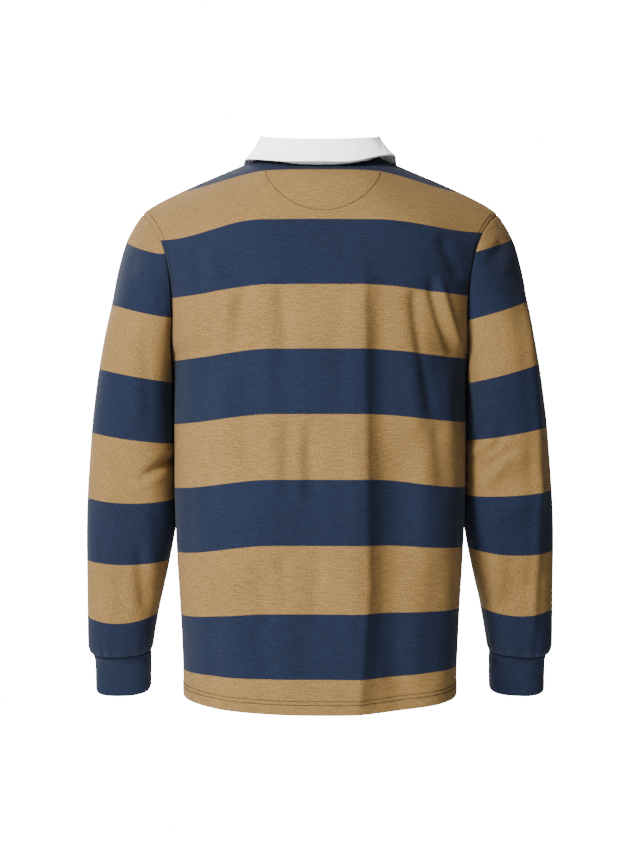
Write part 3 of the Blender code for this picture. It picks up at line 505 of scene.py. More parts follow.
# Collar. The right half's edge is lifted between two places round the neck, each with the width of its change
RIGHT_EDGE_LIFT = 0.0055
LIFT_RISE = (0.12, 0.22)
LIFT_FALL = (0.66, 0.16)
COLLAR_STEP = 0.01
COLLAR_COLUMN_SHARES = [0.0, 0.004, 0.012]
FALL_SHARES = [0.0, 0.02, 0.05]
FALL_START = 0.5
FALL_EASE = 0.2
STAND_ROWS = 8
FOLD_ROWS = 10
FALL_ROWS = 20
COLLAR_COLUMNS = 90
COLLAR_WAVE = 0.0006
COLLAR_WAVE_SLANT = 0.7
COLLAR_WAVE_STEPS = (0.016, 0.011)
COLLAR_CRINKLE = COLLAR_WAVE * 0.8
COLLAR_CRINKLE_SLANT = 1.3
COLLAR_CRINKLE_STEP = 0.006
COLLAR_PLAIN = 0.01

# The collar's pressed crease, as heights, places in X and widths, and its rounded edge
COLLAR_RIDGE = (0.0005, -0.0055, 0.0016)
COLLAR_TROUGH = (0.0004, -0.0090, 0.0020)
COLLAR_ROUND = 0.0006
COLLAR_ROUND_WIDTH = 0.0020

# Placket bands
BAND_ROWS = 70
BAND_COLUMNS = 14
BAND_END_SHARES = [0.0, 0.006, 0.016]
BAND_SIDE_SHARES = [0.0, 0.03, 0.07]
BAND_ROUND = 0.0006
BAND_ROUND_WIDTH = 0.0016
BAND_RELIEF = 0.7
BAND_PUCKER_STEP = 0.0022
BAND_PUCKER_REACH = 0.003
BAND_STITCH_INSET = 0.0030
UNDER_BAND_UPS = (SLIT_UP + 0.004, 0.999)

# Buttons: the radius and height of each point of their section, their sharpest smooth edge, and their places
BUTTON_PROFILE = [(0.0, 0.0), (0.0052, 0.0), (0.0060, 0.0003), (0.0065, 0.0010), (0.0065, 0.0019),
                  (0.0061, 0.0026), (0.0055, 0.0028), (0.0049, 0.0026), (0.0045, 0.0020), (0.0022, 0.0018),
                  (0.0, 0.0018)]
BUTTON_STEPS = 40
BUTTON_SHARP = 50
BUTTON_UPS = (0.64, 0.785, 0.93)

# Finishes: pitches are in metres, and the rest are shares
HOOP_SOFT = 0.020
HOOP_RAGGED = 0.008
RIB_PITCH = 0.0022
RIB_RISE = 0.5
WEAVE_PITCH = 0.0006
KNIT_SLANT = 1.6
KNIT_FUZZ = 0.8
# The next two are painted shade: how far the jersey's and the cuffs' colour darkens towards black in the gaps
# between knit loops
JERSEY_GAP_SHADE = 0.22
CUFF_GAP_SHADE = 0.2
CUFF_WALE = 0.9
GRAIN_SHARE = 0.60
STREAK_SHARE = 0.30
PATCH_SHARE = 0.10
STREAK_STRETCH = 9.0
THREAD_LIGHT = 1.6
FINISH_SHINE = 0.05
BLACK = (0.0, 0.0, 0.0, 1.0)
JERSEY_SHADE = Shade(0.14, 0.60, 1.40)
CUFF_SHADE = Shade(0.14, 0.70, 1.30)
COLLAR_SHADE = Shade(0.2, 0.95, 1.03)
BUTTON_SHADE = Shade(0.2, 0.92, 1.04)

# Stitching
STITCH_RISE = 0.35
ARMHOLE_STITCH_INSET = 0.0065
ARMHOLE_STITCH_UPS = (0.53, 0.985)
BOX_UPS = (0.561, 0.582)
BUTTON_WEB = 0.0018
BUTTON_BAR_SPREAD = 0.0010
BUTTON_BAR = (0.0014, 0.0004, 0.0004)
HALF_MOON_X = -0.0040
HALF_MOON_HALF_WIDTH = 0.0766
HALF_MOON_TOP = -0.0180
HALF_MOON_DEPTH = 0.0565
HALF_MOON_ROUNDNESS = 1.4

# Stage: the page is what the camera sees behind the floor, and the floor fades into it. The grey of the floor
# and of the dark flag is its grain's scale, its darkest and lightest value, and its roughness
FLOOR_GREY = (0.125, 0.90, 0.94, 0.9)
FLAG_GREY = (18.0, 0.015, 0.030, 1.0)
FLOOR_RADIUS = 12.0
FLOOR_FADE = (0.7, 1.5)
PAGE_GLOW = 20.0
FLOOR_SIDES = 96
SENSOR_WIDTH = 36.0
LIGHT_AIM = (0.0, 0.0, -0.35)
FLAG_SPOT = (-0.95, 0.0, -0.35)
FLAG_SIZE = 2.2
LIGHTS = [
    Lamp("key_light", (1.5, 2.5, 0.9), 0.7, 1.0),
    Lamp("front_light", (1.2, -2.2, 1.0), 1.6, 0.5),
]


class ShirtClothSettings(bpy.types.PropertyGroup):
    """Sizes and colours of the cloth."""
    jersey_wall: bpy.props.FloatProperty(
        name="Jersey thickness", description="Thickness of the striped jersey",
        default=0.0016, min=0.0005, unit="LENGTH")
    rib_wall: bpy.props.FloatProperty(
        name="Cuff thickness", description="Thickness of the cuffs", default=0.0020, min=0.0005, unit="LENGTH")
    collar_wall: bpy.props.FloatProperty(
        name="Collar thickness", description="Thickness of the collar", default=0.0020, min=0.0005,
        unit="LENGTH")
    seam_depth: bpy.props.FloatProperty(
        name="Seam depth", description="How far the cloth turns in at a seam", default=0.0010, min=0.0,
        unit="LENGTH")
    seam_width: bpy.props.FloatProperty(
        name="Seam width", description="How far from a seam the cloth starts to turn in", default=0.0030,
        min=0.0005, unit="LENGTH")
    pucker: bpy.props.FloatProperty(
        name="Pucker", description="Height of the small puckers along seams and stitching",
        default=0.00035, min=0.0, unit="LENGTH")
    tan: bpy.props.FloatVectorProperty(
        name="Tan", description="Colour of the tan hoops", default=(0.152, 0.090, 0.0310), size=3, min=0.0,
        max=1.0, subtype="COLOR")
    navy: bpy.props.FloatVectorProperty(
        name="Navy", description="Colour of the navy hoops and the cuffs", default=(0.0074, 0.0113, 0.0250),
        size=3, min=0.0, max=1.0, subtype="COLOR")
    white: bpy.props.FloatVectorProperty(
        name="White", description="Colour of the collar", default=(0.955, 0.970, 0.980), size=3, min=0.0,
        max=1.0, subtype="COLOR")
    rubber: bpy.props.FloatVectorProperty(
        name="Button", description="Colour of the rubber buttons", default=(0.800, 0.780, 0.720), size=3,
        min=0.0, max=1.0, subtype="COLOR")
    wale: bpy.props.FloatProperty(
        name="Wale width", description="Width of one column of knitted stitches", default=0.0011, min=0.0003,
        unit="LENGTH")
    course: bpy.props.FloatProperty(
        name="Course height", description="Height of one row of knitted stitches", default=0.0008, min=0.0003,
        unit="LENGTH")


class ShirtStitchSettings(bpy.types.PropertyGroup):
    """Sizes and colour of the visible stitching."""
    length: bpy.props.FloatProperty(
        name="Stitch length", description="Length of one stitch", default=0.0028, min=0.0005, unit="LENGTH")
    pitch: bpy.props.FloatProperty(
        name="Stitch pitch", description="Distance from one stitch to the next", default=0.0031, min=0.0005,
        unit="LENGTH")
    thickness: bpy.props.FloatProperty(
        name="Thread thickness", description="Thickness of the thread", default=0.0010, min=0.0001,
        unit="LENGTH")
    hem_depth: bpy.props.FloatProperty(
        name="Hem depth", description="Height of the upper hem stitching over the hem's edge",
        default=0.0190, min=0.002, unit="LENGTH")
    hem_spacing: bpy.props.FloatProperty(
        name="Hem spacing", description="Distance between the two rows of hem stitching", default=0.0052,
        min=0.001, unit="LENGTH")
    thread: bpy.props.FloatVectorProperty(
        name="Thread", description="Colour of the stitching", default=(0.008, 0.007, 0.007), size=3, min=0.0,
        max=1.0, subtype="COLOR")


class ShirtStageSettings(bpy.types.PropertyGroup):
    """The camera, lights and floor."""
    camera_distance: bpy.props.FloatProperty(
        name="Camera distance", description="Distance of the camera from the middle of the shirt",
        default=3.0, min=0.5, unit="LENGTH")
    camera_height: bpy.props.FloatProperty(
        name="Camera height", description="Height of the camera against the neck", default=-0.357,
        unit="LENGTH")
    lens: bpy.props.FloatProperty(
        name="Lens", description="Focal length for a 36 mm wide sensor", default=93.1, min=10.0)
    key_power: bpy.props.FloatProperty(
        name="Key light", description="Strength of the main light in watts", default=315.0, min=0.0)
    world_strength: bpy.props.FloatProperty(
        name="Fill light", description="Strength of the light from all round", default=1.05, min=0.0)
    floor_height: bpy.props.FloatProperty(
        name="Floor height", description="Height of the floor against the neck", default=-1.25,
        unit="LENGTH")


def read(table, column, at):
    """Return a column of a table at one or many places, on a smooth curve through the table's rows."""
    places = np.array([row[0] for row in table])
    values = np.array([getattr(row, column) for row in table])
    last = len(table) - 1
    before = np.maximum(np.arange(last + 1) - 1, 0)
    after = np.minimum(np.arange(last + 1) + 1, last)
    slopes = (values[after] - values[before]) / (places[after] - places[before])
    at = np.clip(at, places[0], places[-1])
    low = np.clip(np.searchsorted(places, at, side="right") - 1, 0, last - 1)
    span = places[low + 1] - places[low]
    t = (at - places[low]) / span
    start = values[low] * (2 * t ** 3 - 3 * t ** 2 + 1) + slopes[low] * span * (t ** 3 - 2 * t ** 2 + t)
    end = values[low + 1] * (3 * t ** 2 - 2 * t ** 3) + slopes[low + 1] * span * (t ** 3 - t ** 2)
    return start + end


def stack(x, y, z):
    """Join three coordinates into points."""
    return np.stack(np.broadcast_arrays(x, y, z), axis=-1).astype(float)


def read_point(table, at, prefix=""):
    """Return the points whose x, y and z columns start with the prefix."""
    return stack(*[read(table, prefix + axis, at) for axis in "xyz"])


def ease(t):
    """Go smoothly from 0 to 1."""
    t = np.clip(t, 0.0, 1.0)
    return t * t * (3 - 2 * t)


def unit(vectors):
    """Return vectors of length 1."""
    return vectors / np.maximum(np.linalg.norm(vectors, axis=-1, keepdims=True), 1e-12)


def wander(places, step, seed):
    """Return a smooth wave of uneven length round 0, between about -1 and 1, that changes every step."""
    total = 0.0
    for k, stretch in enumerate(WAVE_STRETCHES):
        start = seed * WAVE_SEED_TURN + k * WAVE_TURN
        total = total + np.sin(places / (step * stretch) + start) / (1 + k)
    return total / WAVE_PEAK


def fold_height(folds, x, z):
    """Return how far the cloth stands out, from all the folds near it."""
    total = np.zeros(np.broadcast(x, z).shape)
    for fold in folds:
        run_x = fold.x1 - fold.x0
        run_z = fold.z1 - fold.z0
        length = math.hypot(run_x, run_z)
        share = ((x - fold.x0) * run_x + (z - fold.z0) * run_z) / length ** 2
        aside = (run_x * (z - fold.z0) - run_z * (x - fold.x0)) / length
        aside = aside - fold.bow * np.sin(np.pi * np.clip(share, 0.0, 1.0))
        ends = ease((share + FOLD_END) / (2 * FOLD_END)) * ease((1 + FOLD_END - share) / (2 * FOLD_END))
        total += fold.height * np.exp(-(aside / fold.width) ** 2) * ends
    return total


def edge_point(side, up):
    """Return the left outer edge of a panel: the side seam, then the armhole."""
    low = read_point(SIDE_SEAM, np.minimum(up, UNDERARM_UP))
    high = read_point(ARMHOLE[side], np.maximum(up, UNDERARM_UP))
    return np.where(np.asarray(up <= UNDERARM_UP)[..., None], low, high)


def neck_round(side, across):
    """Return the place round the neckline where a panel's column meets it."""
    share = (across - NECK_POINT_ACROSS) / (1 - NECK_POINT_ACROSS)
    return 0.5 - 0.5 * share if side == "back" else 0.5 + 0.5 * share


def top_point(side, across):
    """Return the left top edge of a panel: the shoulder seam, then the neckline."""
    share = np.clip(across / NECK_POINT_ACROSS, 0.0, 1.0)
    tip = read_point(ARMHOLE[side], 1.0)
    seam = tip + (read_point(NECKLINE, 0.5) - tip) * share[..., None]
    seam[..., 2] += SHOULDER_BOW * np.sin(np.pi * share ** SHOULDER_BOW_POWER)
    neck = read_point(NECKLINE, neck_round(side, across))
    return np.where((across <= NECK_POINT_ACROSS)[..., None], seam, neck)


def row_form(side, across, up):
    """Return points of a panel's smooth rows; across runs from its edge (0) to its middle (1)."""
    rows = ROWS[side]
    edge = edge_point(side, up)
    lead = edge + read_point(rows, up, "lead_")
    middle_x = 0.0 if side == "back" else SLIT_HALF_WIDTH
    middle = stack(middle_x, read(rows, "middle_y", up), read(rows, "middle_z", up))
    middle_lead = middle + stack(read(rows, "middle_lead", up), 0.0, 0.0)
    t = across[..., None]
    s = 1 - t
    return edge * s ** 3 + lead * (3 * s * s * t) + middle_lead * (3 * s * t * t) + middle * t ** 3


def panel_form(side, across, up):
    """Return the outside of a panel's left half, whose top row bends to the shoulder seam and neckline."""
    top_error = top_point(side, across) - row_form(side, across, np.ones_like(up))
    return row_form(side, across, up) + top_error * ease((up - YOKE_UP) / (1 - YOKE_UP))[..., None]


def yoke_errors(side, half):
    """Return how far each column's top must move to meet the seams: as it is, and smoothed along the row."""
    true = top_point(side, half) - row_form(side, half, np.ones_like(half))
    smooth = true.copy()
    for _ in range(YOKE_SMOOTHING):
        smooth[1:-1] = smooth[1:-1] / 2 + (smooth[:-2] + smooth[2:]) / 4
    return true, smooth


def tucked_row(points, normals, upwards=0.0):
    """Return one more row past a grid's last, hidden under the piece that is sewn over it."""
    on = unit(points[-1] - points[-3])
    share = np.broadcast_to(np.asarray(upwards, float), on.shape[:1])[:, None]
    inwards = unit(on * TUCK_SLOPE - normals[-1])
    return points[-1] + inwards * (1 - share) * TUCK_REACH + np.array([0.0, 0.0, 1.0]) * share * NECK_TUCK


def flattened(wave):
    """Return a sine or cosine that turns a circle into a rounder square."""
    return np.sign(wave) * np.abs(wave) ** SLEEVE_FLATNESS


def ring_point(table, along, turn):
    """Return points of the oval rings of a left sleeve or cuff; turn is 0 outside and 1 or -1 underneath."""
    outer = stack(read(table, "out_x", along), 0.0, read(table, "out_z", along))
    inner = stack(read(table, "in_x", along), 0.0, read(table, "in_z", along))
    middle = (outer + inner) / 2 + stack(0.0, read(table, "middle_y", along), 0.0)
    tilt = np.radians(read(table, "tilt", along))
    depth = np.where(turn >= 0, read(table, "behind", along), read(table, "before", along))
    backward = stack(0.0, np.cos(tilt) * depth, -np.sin(tilt) * depth)
    angle = (np.pi * turn)[..., None]
    return middle + (outer - inner) / 2 * flattened(np.cos(angle)) + backward * flattened(np.sin(angle))


def sleeve_form(along, turn):
    """Return the outside of the left sleeve, which starts on the armhole and soon becomes oval."""
    up = 1.0 - np.abs(turn) * (1.0 - UNDERARM_UP)
    behind = read_point(ARMHOLE["back"], up)
    before = read_point(ARMHOLE["front"], up)
    armhole = np.where((turn >= 0)[..., None], behind, before)
    start_error = armhole - ring_point(SLEEVE, np.zeros_like(along), turn)
    return ring_point(SLEEVE, along, turn) + start_error * (1 - ease(along / CAP_FADE))[..., None]


def surface_normals(points, outward):
    """Return a grid's normals; outward is 1 or -1, for which side of it is the outside."""
    across = np.gradient(points, axis=1)
    along = np.gradient(points, axis=0)
    return unit(np.cross(across, along)) * outward


def tube_normals(points, outward):
    """Return the normals of a grid whose first and last columns are one."""
    wrapped = np.concatenate([points[:, -2:-1], points, points[:, 1:2]], axis=1)
    return surface_normals(wrapped, outward)[:, 1:-1]


def run_lengths(points, axis):
    """Return how far each point of a grid lies along its row (axis 1) or column (axis 0)."""
    steps = np.linalg.norm(np.diff(points, axis=axis), axis=-1)
    zero = np.zeros_like(np.take(steps, [0], axis=axis))
    return np.concatenate([zero, np.cumsum(steps, axis=axis)], axis=axis)


def shares(near, count, far=()):
    """Return shares from 0 to 1: close ones at the start, even ones, and close ones before the end."""
    start = list(near)
    end = [1.0 - share for share in reversed(far)]
    first = start[-1] if start else 0.0
    last = end[0] if end else 1.0
    return np.array(start[:-1] + list(np.linspace(first, last, count)) + end[1:])


def new_sheet(name, points, cloth, outside_up, hoop=None, closed=False, cut=None):
    """Make a mesh object from a grid of points, with the cloth's own metres as its UV map.

    outside_up says whether the grid's own normals already point outwards. A closed grid is a tube whose
    first and last columns are one. cut marks the points whose faces are left out.
    """
    rows = points.shape[0] - 1
    columns = points.shape[1] - 1
    grid = bmesh.new()
    bmesh.ops.create_grid(grid, x_segments=columns, y_segments=rows, size=0.5)
    data = bpy.data.meshes.new(name)
    grid.to_mesh(data)
    grid.free()
    flat = np.empty(len(data.vertices) * 3, np.float32)
    data.vertices.foreach_get("co", flat)
    corners = flat.reshape(-1, 3)
    i = np.rint((corners[:, 0] + 0.5) * columns).astype(int)
    j = np.rint((corners[:, 1] + 0.5) * rows).astype(int)
    data.vertices.foreach_set("co", points[j, i].astype(np.float32).ravel())
    owner = np.empty(len(data.loops), np.int32)
    data.loops.foreach_get("vertex_index", owner)
    layer = data.uv_layers.new(name="cloth")
    layer.data.foreach_set("uv", cloth[j[owner], i[owner]].astype(np.float32).ravel())
    if hoop is not None:
        attribute = data.attributes.new("hoop", "FLOAT", "POINT")
        attribute.data.foreach_set("value", hoop[j, i].astype(np.float32))
    work = bmesh.new()
    work.from_mesh(data)
    if cut is not None:
        gone = [face for face in work.faces
                if all(cut[j[vert.index], i[vert.index]] for vert in face.verts)]
        bmesh.ops.delete(work, geom=gone, context="FACES")
    if closed:
        bmesh.ops.remove_doubles(work, verts=work.verts, dist=0.00001)
    if not outside_up:
        bmesh.ops.reverse_faces(work, faces=work.faces)
    work.to_mesh(data)
    work.free()
    data.shade_smooth()
    result = bpy.data.objects.new(name, data)
    bpy.context.scene.collection.objects.link(result)
    return result


def give_wall(piece, thickness):
    """Give a sheet its wall, inwards from its outside."""
    wall = piece.modifiers.new("wall", "SOLIDIFY")
    wall.thickness = thickness
    wall.offset = -1.0
    wall.use_even_offset = False
    wall.use_rim = True


def link_mesh(name, work):
    """Turn a bmesh into an object of the scene."""
    data = bpy.data.meshes.new(name)
    work.to_mesh(data)
    work.free()
    piece = bpy.data.objects.new(name, data)
    bpy.context.scene.collection.objects.link(piece)
    return piece


def finish_piece(piece, material, slot, *nodes):
    """Give a piece its finish and its place on the body, in the stead of its solids."""
    piece.data.materials.clear()
    piece.data.materials.append(material)
    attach(piece, "root")
    if nodes:
        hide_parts(*nodes)


def hoop_count(z, heights):
    """Return how many colour changes lie above each point, with the share of the way to the next."""
    count = np.minimum((heights[0] - z) / (heights[0] - heights[1]), 0.0)
    for upper, lower in zip(heights[:-1], heights[1:]):
        count = count + np.clip((upper - z) / (upper - lower), 0.0, 1.0)
    return count + np.maximum((heights[-1] - z) / (heights[-2] - heights[-1]), 0.0)


def panel_hoops(side, points):
    """Return the hoop count of a panel's points."""
    x = points[..., 0]
    heights = []
    for line in HOOP_LINES[side]:
        out = ease((np.abs(x) - line.flat) / (HOOP_EDGE_X - line.flat))
        heights.append(line.middle + (np.where(x > 0, line.left, line.right) - line.middle) * out)
    return hoop_count(points[..., 2], heights)


def sleeve_hoops(word, points, turn):
    """Return the hoop count of a sleeve's points, with tan and navy on the same counts as on a panel."""
    x = points[..., 0]
    outer = x[:, x.shape[1] // 2][:, None]
    inwards = np.clip((outer - x) / (outer - x[:, :1]), 0.0, 1.0)
    drop = FRONT_SLEEVE_DROP * np.maximum(-np.sin(np.pi * turn), 0.0)
    heights = []
    for ring in HOOP_RINGS[word]:
        bow = ring.middle - (ring.outer + ring.inner) / 2
        straight = ring.outer + (ring.inner - ring.outer) * inwards
        heights.append(straight + bow * 4 * inwards * (1 - inwards) - drop)
    return hoop_count(points[..., 2], heights) + 1.0


def seam_relief(cloth, away, along, seed):
    """Return how far cloth sinks at a seam and puckers beside it, from the distances to it and along it."""
    sink = -cloth.seam_depth * (1 - ease(away / cloth.seam_width))
    pucker = cloth.pucker * np.exp(-away / PUCKER_REACH) * wander(along, PUCKER_STEP, seed)
    return sink + pucker * ease(away / cloth.seam_width)


def hem_relief(cloth, stitch, up_hem, along, seed):
    """Return the relief of a hem: its rounded edge, its two stitched grooves and the ripples between them."""
    edge = -HEM_ROUND * (1 - ease(up_hem / HEM_ROUND_WIDTH))
    upper = stitch.hem_depth
    lower = stitch.hem_depth - stitch.hem_spacing
    grooves = np.exp(-((up_hem - upper) / GROOVE_WIDTH) ** 2) + np.exp(-((up_hem - lower) / GROOVE_WIDTH) ** 2)
    place = np.exp(-((up_hem - lower * HEM_RIPPLE_MIDDLE) / (upper * HEM_RIPPLE_REACH)) ** 2)
    ripples = HEM_RIPPLE * wander(along + up_hem * HEM_RIPPLE_SLANT, HEM_RIPPLE_STEP, seed) * place
    step = HEM_STEP * (1 - ease((up_hem - upper) / HEM_ROUND_WIDTH))
    return edge + step - GROOVE_DEPTH * grooves + cloth.pucker * ripples


def soft_waves(points, seed):
    """Return the faint unevenness of hanging cloth."""
    x, z = points[..., 0], points[..., 2]
    wide = wander(x + SOFT_WAVE_SLANTS[0] * z, SOFT_WAVE_STEPS[0], seed)
    return SOFT_WAVE * wide * wander(z - SOFT_WAVE_SLANTS[1] * x, SOFT_WAVE_STEPS[1], seed + 5)


def panel_grid(side, cloth, stitch):
    """Return the finished outside of the back or the front as a grid of points, with its cloth metres."""
    half = shares(EDGE_SHARES, PANEL_HALF_COLUMNS)
    hem_rows = [HEM_ROW_STEP * k for k in range(HEM_ROW_COUNT)]
    up = shares(hem_rows, PANEL_ROW_COUNT, far=EDGE_SHARES)
    if side == "back":
        column = np.concatenate([np.arange(len(half)), np.arange(len(half) - 1)[::-1]])
        hand = np.concatenate([np.ones(len(half)), -np.ones(len(half) - 1)])
    else:
        strip = np.linspace(1.0, -1.0, STRIP_COLUMNS + 1)[1:-1]
        column = np.concatenate([np.arange(len(half)), np.full(len(strip), len(half) - 1),
                                 np.arange(len(half))[::-1]])
        hand = np.concatenate([np.ones(len(half)), strip, -np.ones(len(half))])
    true, smooth = yoke_errors(side, half)
    across, up = np.meshgrid(half[column], up)
    kink = ease((up - KINK_UP) / (1 - KINK_UP))[..., None]
    error = smooth[column] * (1 - kink) + true[column] * kink
    form = row_form(side, across, up) + error * ease((up - YOKE_UP) / (1 - YOKE_UP))[..., None]
    form[..., 0] *= hand
    normals = surface_normals(form, 1 if side == "back" else -1)
    x, z = form[..., 0], form[..., 2]
    broad = ease(across / FOLD_FADE) * ease((1 - up) / FOLD_FADE)
    fine = ease(across / FINE_FADE) * ease((1 - up) / FINE_FADE)
    lift = fold_height(FOLDS[side], x, z) * broad
    lift += (fold_height(FINE_FOLDS[side], x, z) + soft_waves(form, SEEDS["panel"])) * fine
    round_run = run_lengths(form, 1)
    up_run = run_lengths(form, 0)
    from_side = np.minimum(round_run, round_run[:, -1:] - round_run)
    from_top = up_run[-1:] - up_run
    lift += seam_relief(cloth, from_side, up_run, SEEDS["side"])
    lift += seam_relief(cloth, from_top, round_run, SEEDS["top"])
    lift += hem_relief(cloth, stitch, up_run, round_run, SEEDS["hem"])
    points = form + normals * lift[..., None]
    middle = points.shape[1] // 2
    metres = np.stack([round_run - round_run[:, middle:middle + 1], up_run], axis=-1)
    upwards = ease((across[-1] - NECK_POINT_ACROSS) / NECK_TUCK_START)
    points = np.concatenate([points, tucked_row(points, normals, upwards)[None]])
    metres = np.concatenate([metres, metres[-1:] + np.array([0.0, TUCK_REACH])])
    return points, metres, np.concatenate([up, up[-1:]])


def build_panel(side):
    """Build the back or the front, with its hoops and folds."""
    scene = bpy.context.scene
    cloth = scene.shirt_cloth
    points, metres, up = panel_grid(side, cloth, scene.shirt_stitches)
    in_slit = None
    if side == "front":
        first = PANEL_HALF_COLUMNS + len(EDGE_SHARES) - 2
        in_slit = (up >= SLIT_UP)
        in_slit[:, :first] = False
        in_slit[:, points.shape[1] - first:] = False
    piece = new_sheet(side + "_cloth", points, metres, side == "back", panel_hoops(side, points), cut=in_slit)
    give_wall(piece, cloth.jersey_wall)
    finish_piece(piece, jersey_material(), "striped_jersey", side)


def sleeve_grid(word, cloth):
    """Return the finished outside of a sleeve as a grid of points, with its cloth metres and hoop counts."""
    along = shares(SLEEVE_START_SHARES, SLEEVE_ROW_COUNT, far=SLEEVE_END_SHARES)
    turn, along = np.meshgrid(np.linspace(-1.0, 1.0, SLEEVE_COLUMNS + 1), along)
    form = sleeve_form(along, turn)
    normals = tube_normals(form, -1)
    x, z = form[..., 0], form[..., 2]
    clear = ease((x - SLEEVE_CLEAR_X) / SLEEVE_CLEAR_WIDTH)
    lift = fold_height(FOLDS["sleeve"], x, z) * clear
    behind = ease(0.5 + BEHIND_BLEND * np.sin(np.pi * turn))
    lift += fold_height(FINE_FOLDS[f"sleeve_{word} behind"], x, z) * behind
    lift += fold_height(FINE_FOLDS[f"sleeve_{word} before"], x, z) * (1 - behind) * clear
    seed = SEEDS[f"sleeve {word}"]
    from_cap = run_lengths(form, 0)
    from_cuff = from_cap[-1:] - from_cap
    round_run = run_lengths(form, 1)
    from_underarm = np.minimum(round_run, round_run[:, -1:] - round_run)
    lift += soft_waves(form, seed) * ease(from_cap / CAP_PLAIN) * ease(from_cuff / CUFF_PLAIN)
    lift += seam_relief(cloth, from_cap, round_run, seed)
    lift += seam_relief(cloth, from_underarm, from_cap, seed + 1) * UNDERARM_SEAM
    lift += -cloth.seam_depth * (1 - ease(from_cuff / cloth.seam_width))
    lift += RIM_HEIGHT * np.exp(-((from_cuff - RIM_WIDTH) / (RIM_WIDTH * RIM_SHAPE)) ** 2)
    for gather in GATHERS[word]:
        aside = np.abs(turn - gather.turn)
        aside = np.minimum(aside, 2 - aside)
        reach = ease((from_cuff - GATHER_START) / GATHER_RISE) * np.exp(-from_cuff / gather.reach)
        trough = GATHER_DEPTH * np.exp(-(aside / GATHER_WIDTH) ** 2)
        side = GATHER_SIDE * np.exp(-((aside - GATHER_SIDE_AWAY) / GATHER_SIDE_WIDTH) ** 2)
        lift += gather.depth * (side - trough) * reach
    points = form + normals * lift[..., None]
    outer = points.shape[1] // 2
    metres = np.stack([round_run - round_run[:, outer:outer + 1], from_cap], axis=-1)
    points = np.concatenate([tucked_row(points[::-1], normals[::-1])[None], points])
    points[:, -1] = points[:, 0]
    metres = np.concatenate([metres[:1] - np.array([0.0, TUCK_REACH]), metres])
    turn = np.concatenate([turn[:1], turn])
    hoops = sleeve_hoops(word, points, turn)
    if word == "right":
        points = points * np.array([-1.0, 1.0, 1.0])
    return points, metres, hoops


def build_sleeve(word):
    """Build a sleeve."""
    cloth = bpy.context.scene.shirt_cloth
    points, metres, hoops = sleeve_grid(word, cloth)
    piece = new_sheet(f"sleeve_{word}_cloth", points, metres, word == "right", hoops, closed=True)
    give_wall(piece, cloth.jersey_wall)
    finish_piece(piece, jersey_material(), "striped_jersey", f"sleeve_{word}")


def build_cuff(word):
    """Build a cuff, whose lower edge is a fold."""
    cloth = bpy.context.scene.shirt_cloth
    along = shares(SLEEVE_START_SHARES, CUFF_ROW_COUNT, far=CUFF_END_SHARES)
    turn, along = np.meshgrid(np.linspace(-1.0, 1.0, SLEEVE_COLUMNS + 1), along)
    form = ring_point(CUFF, along, turn)
    normals = tube_normals(form, -1)
    from_seam = run_lengths(form, 0)
    from_edge = from_seam[-1:] - from_seam
    round_run = run_lengths(form, 1)
    seed = SEEDS[f"cuff {word}"]
    lift = seam_relief(cloth, from_seam, round_run, seed)
    lift += CUFF_ROLL * np.exp(-((from_seam - CUFF_ROLL_AWAY) / CUFF_ROLL_WIDTH) ** 2)
    lift -= CUFF_ROUND * (1 - ease(from_edge / CUFF_ROUND_WIDTH))
    lift += CUFF_WAVE * wander(round_run, CUFF_WAVE_STEP, seed) * ease(from_seam / CUFF_WAVE_START)
    points = form + normals * lift[..., None]
    points[:, -1] = points[:, 0]
    metres = np.stack([round_run, from_seam], axis=-1)
    if word == "right":
        points = points * np.array([-1.0, 1.0, 1.0])
    piece = new_sheet(f"cuff_{word}_cloth", points, metres, word == "right", closed=True)
    give_wall(piece, cloth.rib_wall)
    finish_piece(piece, cuff_material(), "navy_rib", f"cuff_{word}")


def neck_normal(place):
    """Return the way out of the shirt at a place round the neckline."""
    side = "back" if place <= 0.5 else "front"
    share = min(abs(place - 0.5) / 0.5, 1.0)
    across = NECK_POINT_ACROSS + (1 - NECK_POINT_ACROSS) * share

    def at(a, b):
        return panel_form(side, np.array([min(a, 1.0)]), np.array([min(b, 1.0)]))[0]
    run = at(across + FORM_STEP, 1.0) - at(across - FORM_STEP, 1.0)
    rise = at(across, 1.0) - at(across, 1.0 - FORM_STEP)
    normal = unit(np.cross(run, rise))
    outwards = at(across, 1.0) - np.array(BODY_MIDDLE)
    normal = normal if normal @ outwards > 0 else -normal
    if across == 1.0:
        normal[0] = 0.0
    return unit(normal)


